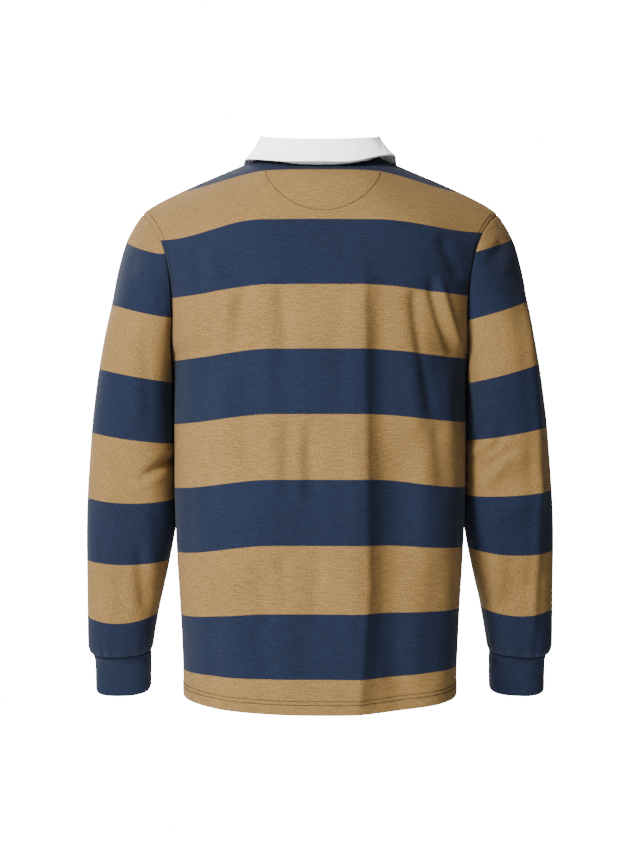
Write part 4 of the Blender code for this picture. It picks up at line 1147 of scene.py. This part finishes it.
def collar_section(place, hand):
    """Return the collar's section at a place round the neck: up the stand, over the fold and down the fall."""
    fold = read_point(COLLAR, place, "fold_")
    edge = read_point(COLLAR, place, "edge_")
    if hand < 0:
        edge[2] += RIGHT_EDGE_LIFT * (ease((place - LIFT_RISE[0]) / LIFT_RISE[1])
                                      * ease((LIFT_FALL[0] - place) / LIFT_FALL[1]))
    before = max(place - COLLAR_STEP, 0.0)
    run = read_point(COLLAR, place + COLLAR_STEP, "fold_") - read_point(COLLAR, before, "fold_")
    away = unit(np.array([-run[1], run[0], 0.0])) if place > 0 else np.array([0.0, 1.0, 0.0])
    away = away if away @ (edge - fold) > 0 else -away
    seat = read_point(NECKLINE, place) + neck_normal(place) * COLLAR_SEAT
    up = np.array([0.0, 0.0, 1.0])
    middle = fold - up * COLLAR_FOLD_RADIUS
    stand_top = middle - away * COLLAR_FOLD_RADIUS
    fall_top = middle + away * COLLAR_FOLD_RADIUS
    fall_way = unit(np.cross(edge - fall_top, run))
    fall_way = fall_way if fall_way @ away > 0 else -fall_way
    section = [seat + (stand_top - seat) * t for t in np.linspace(0.0, 1.0, STAND_ROWS + 1)]
    for angle in np.linspace(0.0, math.pi, FOLD_ROWS + 1)[1:-1]:
        section.append(middle - away * math.cos(angle) * COLLAR_FOLD_RADIUS
                       + up * math.sin(angle) * COLLAR_FOLD_RADIUS)
    for t in shares([], FALL_ROWS, far=FALL_SHARES):
        section.append(fall_top + (edge - fall_top) * t - fall_way * FALL_HOLLOW * math.sin(math.pi * t))
    return section


def build_collar():
    """Build the folded collar with its soft creases."""
    cloth = bpy.context.scene.shirt_cloth
    half = shares([], COLLAR_COLUMNS, far=COLLAR_COLUMN_SHARES) * COLLAR[-1].round
    columns = [collar_section(place, -1) for place in half[::-1]]
    columns = [[point * np.array([-1.0, 1.0, 1.0]) for point in column] for column in columns]
    columns += [collar_section(place, 1) for place in half[1:]]
    form = np.array(columns).transpose(1, 0, 2)
    form = form[:, ::-1]
    normals = surface_normals(form, -1)
    round_run = run_lengths(form, 1)
    up_run = run_lengths(form, 0)
    fall = ease((up_run / up_run[-1:] - FALL_START) / FALL_EASE)
    edge_run = np.minimum(up_run[-1:] - up_run, np.minimum(round_run, round_run[:, -1:] - round_run))
    x = form[..., 0]
    wide, high, fine = SEEDS["collar"]
    wave = wander(round_run + COLLAR_WAVE_SLANT * up_run, COLLAR_WAVE_STEPS[0], wide)
    lift = COLLAR_WAVE * wave * wander(up_run, COLLAR_WAVE_STEPS[1], high)
    crinkle = wander(round_run - COLLAR_CRINKLE_SLANT * up_run, COLLAR_CRINKLE_STEP, fine)
    lift += COLLAR_CRINKLE * crinkle * ease(edge_run / COLLAR_PLAIN)
    for hand, (height, middle, width) in ((1, COLLAR_RIDGE), (-1, COLLAR_TROUGH)):
        lift += hand * height * np.exp(-((x - middle) / width) ** 2)
    lift -= COLLAR_ROUND * (1 - ease(edge_run / COLLAR_ROUND_WIDTH))
    lift *= fall
    points = form + normals * lift[..., None]
    metres = np.stack([round_run - round_run[:, points.shape[1] // 2][:, None], up_run], axis=-1)
    piece = new_sheet("collar_cloth", points, metres, False)
    give_wall(piece, cloth.collar_wall)
    finish_piece(piece, collar_material(), "collar_cloth", "collar")


def middle_front(up):
    """Return the point in the middle of the front at a height, and the way out of the shirt there."""
    point = panel_form("front", np.array([1.0]), np.array([up]))[0]
    above = panel_form("front", np.array([1.0]), np.array([min(up + FORM_STEP, 1.0)]))[0]
    below = panel_form("front", np.array([1.0]), np.array([up - FORM_STEP]))[0]
    rise = above - below
    return point, unit(np.array([0.0, -rise[2], rise[1]]))


def build_band(name, node, half_width, bottom, top, lift):
    """Build a placket band, which follows the middle of the front."""
    cloth = bpy.context.scene.shirt_cloth
    ups = shares(BAND_END_SHARES, BAND_ROWS, far=BAND_END_SHARES) * (top - bottom) + bottom
    wide = shares(BAND_SIDE_SHARES, BAND_COLUMNS, far=BAND_SIDE_SHARES) * 2 - 1
    rows = []
    for up in ups:
        point, out = middle_front(up)
        rows.append([np.array([half_width * -share, point[1], point[2]]) + out * lift for share in wide])
    form = np.array(rows)
    normals = surface_normals(form, -1)
    round_run = run_lengths(form, 1)
    up_run = run_lengths(form, 0)
    from_edge = np.minimum(np.minimum(round_run, round_run[:, -1:] - round_run),
                           np.minimum(up_run, up_run[-1:] - up_run))
    relief = -BAND_ROUND * (1 - ease(from_edge / BAND_ROUND_WIDTH))
    relief -= GROOVE_DEPTH * BAND_RELIEF * np.exp(-((from_edge - BAND_STITCH_INSET) / GROOVE_WIDTH) ** 2)
    pucker = wander(up_run, BAND_PUCKER_STEP, SEEDS["band"]) * np.exp(-from_edge / BAND_PUCKER_REACH)
    relief += cloth.pucker * BAND_RELIEF * pucker
    points = form + normals * relief[..., None]
    metres = np.stack([round_run - half_width, up_run], axis=-1)
    piece = new_sheet(name, points, metres, False, panel_hoops("front", points))
    give_wall(piece, BAND_WALL)
    finish_piece(piece, jersey_material(), "striped_jersey", node)


def build_button(name, node, up):
    """Build a round rubber button with a raised rim and a dished middle, from a turned profile."""
    point, out = middle_front(up)
    spot = np.array([0.0, point[1], point[2]]) + out * (PIECE_GAP * 2 + BAND_WALL)
    turned = bmesh.new()
    line = [turned.verts.new((radius, 0.0, height)) for radius, height in BUTTON_PROFILE]
    edges = [turned.edges.new(pair) for pair in zip(line[:-1], line[1:])]
    bmesh.ops.spin(turned, geom=line + edges, cent=(0.0, 0.0, 0.0), axis=(0.0, 0.0, 1.0),
                   angle=math.tau, steps=BUTTON_STEPS, use_merge=True)
    bmesh.ops.remove_doubles(turned, verts=turned.verts, dist=0.00001)
    bmesh.ops.recalc_face_normals(turned, faces=turned.faces)
    turn = Vector(out).to_track_quat("Z", "Y").to_matrix().to_4x4()
    turn.translation = Vector(spot)
    bmesh.ops.transform(turned, matrix=turn, verts=turned.verts)
    piece = link_mesh(name, turned)
    piece.data.shade_smooth()
    piece.data.set_sharp_from_angle(angle=math.radians(BUTTON_SHARP))
    finish_piece(piece, button_material(), "button_rubber", node)


def add_node(tree, kind, inputs=None, **settings):
    """Add a node; an input is a value or the socket that feeds it."""
    node = tree.nodes.new(kind)
    for name, value in settings.items():
        setattr(node, name, value)
    for key, value in (inputs or {}).items():
        if isinstance(value, bpy.types.NodeSocket):
            tree.links.new(value, node.inputs[key])
        else:
            node.inputs[key].default_value = value
    return node


def calc(tree, operation, *values):
    """Add a math node and return its result."""
    return add_node(tree, "ShaderNodeMath", dict(enumerate(values)), operation=operation).outputs[0]


def blend_colours(tree, factor, first, second, mode="MIX"):
    """Mix two colours and return the result."""
    node = add_node(tree, "ShaderNodeMix", {0: factor, 6: first, 7: second}, data_type="RGBA", blend_type=mode)
    return node.outputs[2]


def new_group(name, inputs, outputs):
    """Make an empty shader node group with named sockets; return it with its input and output nodes."""
    group = bpy.data.node_groups.new(name, "ShaderNodeTree")
    for socket, kind, value in inputs:
        made = group.interface.new_socket(socket, in_out="INPUT", socket_type=kind)
        if value is not None:
            made.default_value = value
    for socket in outputs:
        group.interface.new_socket(socket, in_out="OUTPUT", socket_type="NodeSocketFloat")
    return group, group.nodes.new("NodeGroupInput"), group.nodes.new("NodeGroupOutput")


def knit_group():
    """Return the group for jersey stitches: V-shaped loops in columns, read from the cloth's own metres, with
    their height and a mask for painted shade in the gaps between them.
    """
    if "knit stitches" in bpy.data.node_groups:
        return bpy.data.node_groups["knit stitches"]
    group, entry, end = new_group(
        "knit stitches",
        [("Vector", "NodeSocketVector", None), ("Wale", "NodeSocketFloat", 0.0011),
         ("Course", "NodeSocketFloat", 0.0008)],
        ["Height", "Gap Shade"])
    place = add_node(group, "ShaderNodeSeparateXYZ", {0: entry.outputs["Vector"]})
    column = calc(group, "DIVIDE", place.outputs[0], entry.outputs["Wale"])
    row = calc(group, "DIVIDE", place.outputs[1], entry.outputs["Course"])
    aside = calc(group, "ABSOLUTE", calc(group, "SUBTRACT", calc(group, "FRACT", column), 0.5))
    arm = calc(group, "SINE", calc(group, "MULTIPLY", aside, math.tau))
    slant = calc(group, "ADD", row, calc(group, "MULTIPLY", aside, KNIT_SLANT))
    loop = calc(group, "SINE", calc(group, "MULTIPLY", slant, math.tau))
    loop = calc(group, "MULTIPLY_ADD", loop, 0.5, 0.5)
    height = calc(group, "MULTIPLY", arm, calc(group, "SQRT", loop))
    group.links.new(height, end.inputs["Height"])
    # The second output is one minus the height, a mask for painted shade in the low gaps between the loops
    group.links.new(calc(group, "SUBTRACT", 1.0, height), end.inputs["Gap Shade"])
    return group


def mottle_group():
    """Return the group for uneven dye and yarn: fine grain, short streaks along the rows and broad patches."""
    if "mottle" in bpy.data.node_groups:
        return bpy.data.node_groups["mottle"]
    group, entry, end = new_group(
        "mottle",
        [("Vector", "NodeSocketVector", None), ("Grain", "NodeSocketFloat", 560.0),
         ("Streak", "NodeSocketFloat", 60.0), ("Patch", "NodeSocketFloat", 9.0)],
        ["Value", "Grain Value"])

    def noise(scale, stretch, detail):
        wide = add_node(group, "ShaderNodeVectorMath", {0: entry.outputs["Vector"], 1: stretch},
                        operation="MULTIPLY").outputs[0]
        return add_node(group, "ShaderNodeTexNoise",
                        {"Vector": wide, "Scale": scale, "Detail": detail}).outputs["Fac"]
    grain = noise(entry.outputs["Grain"], (1.0, 1.0, 1.0), 2.0)
    streak = noise(entry.outputs["Streak"], (1.0, STREAK_STRETCH, 1.0), 3.0)
    patch = noise(entry.outputs["Patch"], (1.0, 1.0, 1.0), 2.0)
    total = calc(group, "ADD", calc(group, "MULTIPLY", grain, GRAIN_SHARE),
                 calc(group, "MULTIPLY", streak, STREAK_SHARE))
    total = calc(group, "ADD", total, calc(group, "MULTIPLY", patch, PATCH_SHARE))
    group.links.new(total, end.inputs["Value"])
    group.links.new(grain, end.inputs["Grain Value"])
    return group


def new_finish(name, roughness, sheen, sheen_roughness):
    """Make a material with a Principled shader; return it, its tree and its shader."""
    material = bpy.data.materials.new(name)
    material.use_nodes = True
    shader = material.node_tree.nodes["Principled BSDF"]
    for key, value in (("Roughness", roughness), ("Sheen Weight", sheen), ("Sheen Roughness", sheen_roughness),
                       ("Specular IOR Level", FINISH_SHINE)):
        shader.inputs[key].default_value = value
    return material, material.node_tree, shader


def place_group(tree, group, inputs):
    """Place a node group in a material, with its own values."""
    return add_node(tree, "ShaderNodeGroup", inputs, node_tree=group)


def shaded(tree, colour, value, shade):
    """Return a colour that a value near 0.5 makes darker or lighter."""
    bright = add_node(tree, "ShaderNodeMapRange",
                      {"Value": value, "From Min": 0.5 - shade.spread, "From Max": 0.5 + shade.spread,
                       "To Min": shade.dark, "To Max": shade.light}).outputs[0]
    grey = add_node(tree, "ShaderNodeCombineColor", {0: bright, 1: bright, 2: bright}).outputs[0]
    return blend_colours(tree, 1.0, colour, grey, "MULTIPLY")


def colour_and_raise(tree, shader, colour, height, strength, distance):
    """Give a shader its colour and its relief."""
    bump = add_node(tree, "ShaderNodeBump", {"Strength": strength, "Distance": distance, "Height": height})
    tree.links.new(colour, shader.inputs["Base Color"])
    tree.links.new(bump.outputs[0], shader.inputs["Normal"])


def cloth_place(tree):
    """Return the cloth's own metres, from the UV map."""
    return add_node(tree, "ShaderNodeUVMap", uv_map="cloth").outputs["UV"]


def jersey_material():
    """Return the hooped cotton jersey."""
    if "hooped_jersey" in bpy.data.materials:
        return bpy.data.materials["hooped_jersey"]
    cloth = bpy.context.scene.shirt_cloth
    material, tree, shader = new_finish("hooped_jersey", 0.88, 0.03, 0.45)
    place = cloth_place(tree)
    knit = place_group(tree, knit_group(), {"Vector": place, "Wale": cloth.wale, "Course": cloth.course})
    mottle = place_group(tree, mottle_group(), {"Vector": place})
    hoop = add_node(tree, "ShaderNodeAttribute", attribute_name="hoop").outputs["Fac"]
    ragged = calc(tree, "MULTIPLY", calc(tree, "SUBTRACT", mottle.outputs["Grain Value"], 0.5), HOOP_RAGGED)
    wave = calc(tree, "SINE", calc(tree, "MULTIPLY", calc(tree, "ADD", hoop, ragged), math.pi))
    tan = add_node(tree, "ShaderNodeMapRange", {"Value": wave, "From Min": -HOOP_SOFT, "From Max": HOOP_SOFT})
    colour = blend_colours(tree, tan.outputs[0], (*cloth.navy, 1.0), (*cloth.tan, 1.0))
    colour = shaded(tree, colour, mottle.outputs["Value"], JERSEY_SHADE)
    # Painted shade: the colour darkens towards black in the low gaps between the knit loops
    colour = blend_colours(tree, calc(tree, "MULTIPLY", knit.outputs["Gap Shade"], JERSEY_GAP_SHADE), colour, BLACK)
    fuzz = calc(tree, "MULTIPLY", mottle.outputs["Grain Value"], KNIT_FUZZ)
    height = calc(tree, "ADD", knit.outputs["Height"], fuzz)
    colour_and_raise(tree, shader, colour, height, strength=0.35, distance=0.0004)
    return material


def cuff_material():
    """Return the plain navy knit of the cuffs, with its faint ribs."""
    if "navy_knit" in bpy.data.materials:
        return bpy.data.materials["navy_knit"]
    cloth = bpy.context.scene.shirt_cloth
    material, tree, shader = new_finish("navy_knit", 0.88, 0.03, 0.45)
    place = cloth_place(tree)
    knit = place_group(tree, knit_group(),
                       {"Vector": place, "Wale": cloth.wale * CUFF_WALE, "Course": cloth.course})
    mottle = place_group(tree, mottle_group(), {"Vector": place})
    across = add_node(tree, "ShaderNodeSeparateXYZ", {0: place}).outputs[0]
    rib = calc(tree, "SINE", calc(tree, "MULTIPLY", across, math.tau / RIB_PITCH))
    colour = shaded(tree, (*cloth.navy, 1.0), mottle.outputs["Value"], CUFF_SHADE)
    # Painted shade: the colour darkens towards black in the low gaps between the knit loops
    colour = blend_colours(tree, calc(tree, "MULTIPLY", knit.outputs["Gap Shade"], CUFF_GAP_SHADE), colour, BLACK)
    height = calc(tree, "ADD", knit.outputs["Height"], calc(tree, "MULTIPLY", rib, RIB_RISE))
    colour_and_raise(tree, shader, colour, height, strength=0.35, distance=0.0004)
    return material


def collar_material():
    """Return the plain white woven cotton of the collar."""
    if "white_cotton" in bpy.data.materials:
        return bpy.data.materials["white_cotton"]
    cloth = bpy.context.scene.shirt_cloth
    material, tree, shader = new_finish("white_cotton", 0.82, 0.10, 0.5)
    place = cloth_place(tree)
    mottle = place_group(tree, mottle_group(), {"Vector": place, "Grain": 900.0, "Patch": 18.0})
    split = add_node(tree, "ShaderNodeSeparateXYZ", {0: place})
    warp, weft = [calc(tree, "SINE", calc(tree, "MULTIPLY", split.outputs[k], math.tau / WEAVE_PITCH))
                  for k in range(2)]
    colour = shaded(tree, (*cloth.white, 1.0), mottle.outputs["Value"], COLLAR_SHADE)
    colour_and_raise(tree, shader, colour, calc(tree, "MULTIPLY", warp, weft), strength=0.25, distance=0.0002)
    return material


def button_material():
    """Return the matt rubber of the buttons."""
    if "matt_rubber" in bpy.data.materials:
        return bpy.data.materials["matt_rubber"]
    material, tree, shader = new_finish("matt_rubber", 0.5, 0.0, 0.5)
    place = add_node(tree, "ShaderNodeTexCoord").outputs["Object"]
    mottle = place_group(tree, mottle_group(), {"Vector": place, "Grain": 2500.0, "Streak": 400.0,
                                                "Patch": 150.0})
    rubber = bpy.context.scene.shirt_cloth.rubber
    colour = shaded(tree, (*rubber, 1.0), mottle.outputs["Value"], BUTTON_SHADE)
    colour_and_raise(tree, shader, colour, mottle.outputs["Grain Value"], strength=0.2, distance=0.0001)
    return material


def thread_material():
    """Return the sewing thread."""
    if "thread" in bpy.data.materials:
        return bpy.data.materials["thread"]
    material, tree, shader = new_finish("thread", 0.7, 0.03, 0.4)
    place = add_node(tree, "ShaderNodeTexCoord").outputs["Object"]
    twist = add_node(tree, "ShaderNodeTexNoise", {"Vector": place, "Scale": 3000.0}).outputs["Fac"]
    dark = bpy.context.scene.shirt_stitches.thread
    light = [part * THREAD_LIGHT for part in dark]
    colour = blend_colours(tree, twist, (*dark, 1.0), (*light, 1.0))
    tree.links.new(colour, shader.inputs["Base Color"])
    return material


def add_bead(threads, spot, axes, half_sizes):
    """Add one slender bead of thread, whose half sizes lie along three axes."""
    matrix = Matrix.Identity(4)
    for column, (axis, size) in enumerate(zip(axes, half_sizes)):
        for row in range(3):
            matrix[row][column] = axis[row] * size
    matrix.translation = Vector(spot)
    bmesh.ops.create_icosphere(threads, subdivisions=1, radius=1.0, matrix=matrix)


def sew(threads, path, normals, stitch):
    """Lay stitches along a path on the cloth, as beads of one mesh."""
    steps = np.linalg.norm(np.diff(path, axis=0), axis=1)
    run = np.concatenate([[0.0], np.cumsum(steps)])
    count = int(run[-1] / stitch.pitch)
    middles = (np.arange(count) + 0.5) * run[-1] / count

    def at(places, values):
        return np.stack([np.interp(places, run, values[:, axis]) for axis in range(3)], axis=-1)
    spots = at(middles, path)
    ways = unit(at(middles + stitch.length / 2, path) - at(middles - stitch.length / 2, path))
    outs = unit(at(middles, normals))
    sides = unit(np.cross(outs, ways))
    half_sizes = (stitch.length / 2, stitch.thickness / 2, stitch.thickness / 2)
    for spot, way, side, out in zip(spots, ways, sides, outs):
        add_bead(threads, spot + out * (stitch.thickness * STITCH_RISE), (way, side, out), half_sizes)


def line_beside(points, values, distance, axis, from_end=False):
    """Return values on the line at a distance from a grid's edge: axis 0 from the hem, 1 from a side."""
    run = run_lengths(points, axis)
    if from_end:
        run = np.flip(np.take(run, [-1], axis=axis) - run, axis=axis)
        values = np.flip(values, axis=axis)
    lines = values if axis == 0 else values.transpose(1, 0, 2)
    runs = run if axis == 0 else run.T
    return np.array([[np.interp(distance, runs[:, k], lines[:, k, c]) for c in range(3)]
                     for k in range(lines.shape[1])])


def finish_threads(name, threads, slot):
    """Turn a mesh of stitches into a piece."""
    piece = link_mesh(name, threads)
    piece.data.shade_smooth()
    finish_piece(piece, thread_material(), slot)


def build_panel_stitches():
    """Sew the hem and the armholes."""
    scene = bpy.context.scene
    stitch = scene.shirt_stitches
    hem = bmesh.new()
    armholes = bmesh.new()
    for side, outward in (("back", 1), ("front", -1)):
        points, _, up = panel_grid(side, scene.shirt_cloth, stitch)
        normals = surface_normals(points, outward)
        for distance in (stitch.hem_depth, stitch.hem_depth - stitch.hem_spacing):
            path = line_beside(points, points, distance, 0)
            sew(hem, path, line_beside(points, normals, distance, 0), stitch)
        rows = (up[:, 0] > ARMHOLE_STITCH_UPS[0]) & (up[:, 0] < ARMHOLE_STITCH_UPS[1])
        for from_end in (False, True):
            path = line_beside(points, points, ARMHOLE_STITCH_INSET, 1, from_end)[rows]
            outs = line_beside(points, normals, ARMHOLE_STITCH_INSET, 1, from_end)[rows]
            sew(armholes, path, outs, stitch)
    finish_threads("hem_stitches", hem, "striped_jersey")
    finish_threads("armhole_stitches", armholes, "striped_jersey")


def build_placket_stitches():
    """Sew the over band's two edges and the box at its foot, and sew on the buttons."""
    stitch = bpy.context.scene.shirt_stitches
    half_width = BAND_HALF_WIDTH - BAND_STITCH_INSET
    lift = BAND_WALL + PIECE_GAP
    band = bmesh.new()
    lines = [[(hand * half_width, up) for up in np.linspace(BOX_UPS[0], BAND_TOP_UP, 80)] for hand in (-1, 1)]
    lines += [[(half_width * share, up) for share in np.linspace(-1.0, 1.0, 12)] for up in BOX_UPS]
    for line in lines:
        path, outs = [], []
        for x, up in line:
            point, out = middle_front(up)
            path.append(np.array([x, point[1], point[2]]) + out * lift)
            outs.append(out)
        sew(band, np.array(path), np.array(outs), stitch)
    finish_threads("placket_stitches", band, "striped_jersey")
    bars = bmesh.new()
    across = np.array([1.0, 0.0, 0.0])
    for up in BUTTON_UPS:
        point, out = middle_front(up)
        rise = np.cross(out, across)
        spot = np.array([0.0, point[1], point[2]]) + out * (lift + PIECE_GAP + BUTTON_WEB)
        for hand in (-1, 1):
            add_bead(bars, spot + rise * (hand * BUTTON_BAR_SPREAD), (across, rise, out), BUTTON_BAR)
    finish_threads("button_threads", bars, "button_rubber")


def build_half_moon():
    """Sew the half-moon behind the neck."""
    stitch = bpy.context.scene.shirt_stitches
    data = bpy.data.objects["back_cloth"].data
    solid = bmesh.new()
    solid.from_mesh(data)
    tree = BVHTree.FromBMesh(solid)
    solid.free()
    path, normals = [], []
    for turn in np.linspace(0.0, 1.0, 80):
        angle = math.pi * (1.0 - turn)
        x = HALF_MOON_X + HALF_MOON_HALF_WIDTH * math.cos(angle)
        z = HALF_MOON_TOP - HALF_MOON_DEPTH * math.sin(angle) ** HALF_MOON_ROUNDNESS
        hit, normal, _, _ = tree.ray_cast(Vector((x, 1.0, z)), Vector((0.0, -1.0, 0.0)))
        if hit is None:
            raise RuntimeError("the half-moon's stitching misses the back")
        path.append(hit)
        normals.append(normal if normal.y > 0 else -normal)
    threads = bmesh.new()
    sew(threads, np.array(path), np.array(normals), stitch)
    finish_threads("half_moon_stitches", threads, "striped_jersey")


def grey_material(name, scale, dark, light, roughness):
    """Make a grey material with a faint grain; return it, its tree and its shader."""
    material = bpy.data.materials.new(name)
    material.use_nodes = True
    tree = material.node_tree
    shader = tree.nodes["Principled BSDF"]
    place = add_node(tree, "ShaderNodeTexCoord").outputs["Object"]
    grain = add_node(tree, "ShaderNodeTexNoise", {"Vector": place, "Scale": scale, "Detail": 3.0})
    colour = blend_colours(tree, grain.outputs["Fac"], (dark, dark, dark, 1.0), (light, light, light, 1.0))
    tree.links.new(colour, shader.inputs["Base Color"])
    shader.inputs["Roughness"].default_value = roughness
    return material, tree, shader


def camera_ray(tree):
    """Return 1 for what the camera sees itself, and 0 for what lights or reflects."""
    return add_node(tree, "ShaderNodeLightPath").outputs["Is Camera Ray"]


def blend_surface(tree, factor, first, second):
    """Blend two shaders and make them the material's surface."""
    blend = add_node(tree, "ShaderNodeMixShader", {0: factor, 1: first.outputs[0], 2: second.outputs[0]})
    tree.links.new(blend.outputs[0], tree.nodes["Material Output"].inputs["Surface"])


def build_floor():
    """Lay the pale floor, which fades into the page."""
    work = bmesh.new()
    height = bpy.context.scene.shirt_stage.floor_height
    bmesh.ops.create_circle(work, cap_ends=True, segments=FLOOR_SIDES, radius=FLOOR_RADIUS,
                            matrix=Matrix.Translation((0.0, 0.0, height)))
    floor = link_mesh("floor", work)
    material, tree, shader = grey_material("pale_floor", *FLOOR_GREY)
    place = add_node(tree, "ShaderNodeTexCoord").outputs["Object"]
    flat = add_node(tree, "ShaderNodeVectorMath", {0: place, 1: (1.0, 1.0, 0.0)}, operation="MULTIPLY")
    far = add_node(tree, "ShaderNodeVectorMath", {0: flat.outputs[0]}, operation="LENGTH").outputs["Value"]
    fade = add_node(tree, "ShaderNodeMapRange", {"Value": far, "From Min": FLOOR_FADE[0],
                                                 "From Max": FLOOR_FADE[1]}, interpolation_type="SMOOTHSTEP")
    page = add_node(tree, "ShaderNodeEmission", {"Strength": PAGE_GLOW})
    blend_surface(tree, calc(tree, "MULTIPLY", fade.outputs[0], camera_ray(tree)), shader, page)
    floor.data.materials.append(material)


def build_flag():
    """Hang a dark cloth beside the shirt, which keeps light off its right side and isn't seen itself."""
    work = bmesh.new()
    bmesh.ops.create_grid(work, x_segments=1, y_segments=1, size=FLAG_SIZE / 2,
                          matrix=Matrix.Translation(FLAG_SPOT) @ Matrix.Rotation(math.radians(90.0), 4, "Y"))
    flag = link_mesh("dark_flag", work)
    material, tree, shader = grey_material("black_cloth", *FLAG_GREY)
    blend_surface(tree, camera_ray(tree), shader, add_node(tree, "ShaderNodeBsdfTransparent"))
    flag.data.materials.append(material)


def build_lights():
    """Light the page, and hang the lamps."""
    scene = bpy.context.scene
    stage = scene.shirt_stage
    world = bpy.data.worlds.new("studio")
    world.use_nodes = True
    scene.world = world
    tree = world.node_tree
    strength = calc(tree, "MULTIPLY_ADD", camera_ray(tree), PAGE_GLOW - stage.world_strength,
                    stage.world_strength)
    background = tree.nodes["Background"]
    background.inputs["Color"].default_value = (1.0, 1.0, 1.0, 1.0)
    tree.links.new(strength, background.inputs["Strength"])
    for lamp in LIGHTS:
        light = bpy.data.lights.new(lamp.name, "AREA")
        light.shape = "DISK"
        light.size = lamp.size
        light.energy = lamp.share * stage.key_power
        holder = bpy.data.objects.new(lamp.name, light)
        holder.location = lamp.spot
        holder.rotation_euler = (Vector(LIGHT_AIM) - holder.location).to_track_quat("-Z", "Y").to_euler()
        scene.collection.objects.link(holder)


def place_camera():
    """Place the camera level behind the shirt, as in the photo."""
    scene = bpy.context.scene
    stage = scene.shirt_stage
    lens = bpy.data.cameras.new("camera")
    lens.lens = stage.lens
    lens.sensor_width = SENSOR_WIDTH
    camera = bpy.data.objects.new("camera", lens)
    camera.location = (0.0, stage.camera_distance, stage.camera_height)
    camera.rotation_euler = (math.radians(90.0), 0.0, math.radians(180.0))
    scene.collection.objects.link(camera)
    scene.camera = camera


class SHIRT_OT_back(bpy.types.Operator):
    """Build the back panel"""
    bl_idname = "shirt.back"
    bl_label = "Back"

    def execute(self, context):
        build_panel("back")
        return {"FINISHED"}


class SHIRT_OT_front(bpy.types.Operator):
    """Build the front panel with its slit"""
    bl_idname = "shirt.front"
    bl_label = "Front"

    def execute(self, context):
        build_panel("front")
        return {"FINISHED"}


class SHIRT_OT_sleeves(bpy.types.Operator):
    """Build both sleeves"""
    bl_idname = "shirt.sleeves"
    bl_label = "Sleeves"

    def execute(self, context):
        for word in ("left", "right"):
            build_sleeve(word)
        return {"FINISHED"}


class SHIRT_OT_cuffs(bpy.types.Operator):
    """Build both cuffs"""
    bl_idname = "shirt.cuffs"
    bl_label = "Cuffs"

    def execute(self, context):
        for word in ("left", "right"):
            build_cuff(word)
        return {"FINISHED"}


class SHIRT_OT_collar(bpy.types.Operator):
    """Build the folded collar"""
    bl_idname = "shirt.collar"
    bl_label = "Collar"

    def execute(self, context):
        build_collar()
        return {"FINISHED"}


class SHIRT_OT_placket(bpy.types.Operator):
    """Build the two placket bands"""
    bl_idname = "shirt.placket"
    bl_label = "Placket"

    def execute(self, context):
        build_band("placket_under_cloth", "placket_under", SLIT_HALF_WIDTH - PIECE_GAP, *UNDER_BAND_UPS, 0.0)
        build_band("placket_over_cloth", "placket_over", BAND_HALF_WIDTH, BAND_BOTTOM_UP, BAND_TOP_UP,
                   BAND_WALL + PIECE_GAP)
        return {"FINISHED"}


class SHIRT_OT_buttons(bpy.types.Operator):
    """Build the buttons of the placket"""
    bl_idname = "shirt.buttons"
    bl_label = "Buttons"

    def execute(self, context):
        for k, up in enumerate(BUTTON_UPS):
            build_button(f"rubber_button_{k + 1}", f"button_{k + 1}", up)
        return {"FINISHED"}


class SHIRT_OT_stitches(bpy.types.Operator):
    """Sew the visible rows of stitching; the back comes first"""
    bl_idname = "shirt.stitches"
    bl_label = "Stitching"

    def execute(self, context):
        build_panel_stitches()
        build_placket_stitches()
        build_half_moon()
        return {"FINISHED"}


class SHIRT_OT_stage(bpy.types.Operator):
    """Make the floor, the dark flag, the lights and the camera"""
    bl_idname = "shirt.stage"
    bl_label = "Stage"

    def execute(self, context):
        build_floor()
        build_flag()
        build_lights()
        place_camera()
        return {"FINISHED"}


class SHIRT_PT_pieces(bpy.types.Panel):
    """The shirt's pieces and their settings"""
    bl_idname = "SHIRT_PT_pieces"
    bl_label = "Hooped polo shirt"
    bl_space_type = "VIEW_3D"
    bl_region_type = "UI"
    bl_category = "Shirt"

    def draw(self, context):
        for settings in (context.scene.shirt_cloth, context.scene.shirt_stitches, context.scene.shirt_stage):
            box = self.layout.box()
            for name in type(settings).__annotations__:
                box.prop(settings, name)
        for operator in OPERATORS:
            self.layout.operator(operator.bl_idname)


SETTINGS = [
    ("shirt_cloth", ShirtClothSettings),
    ("shirt_stitches", ShirtStitchSettings),
    ("shirt_stage", ShirtStageSettings),
]
OPERATORS = [SHIRT_OT_back, SHIRT_OT_front, SHIRT_OT_sleeves, SHIRT_OT_cuffs, SHIRT_OT_collar,
             SHIRT_OT_placket, SHIRT_OT_buttons, SHIRT_OT_stitches, SHIRT_OT_stage]


def register():
    for name, settings in SETTINGS:
        bpy.utils.register_class(settings)
        setattr(bpy.types.Scene, name, bpy.props.PointerProperty(type=settings))
    for made in OPERATORS + [SHIRT_PT_pieces]:
        bpy.utils.register_class(made)


def unregister():
    for made in reversed(OPERATORS + [SHIRT_PT_pieces]):
        bpy.utils.unregister_class(made)
    for name, settings in reversed(SETTINGS):
        delattr(bpy.types.Scene, name)
        bpy.utils.unregister_class(settings)


def main():
    register()
    bpy.ops.shirt.back()
    bpy.ops.shirt.front()
    bpy.ops.shirt.sleeves()
    bpy.ops.shirt.cuffs()
    bpy.ops.shirt.collar()
    bpy.ops.shirt.placket()
    bpy.ops.shirt.buttons()
    bpy.ops.shirt.stitches()
    bpy.ops.shirt.stage()


if __name__ == "__main__":
    main()
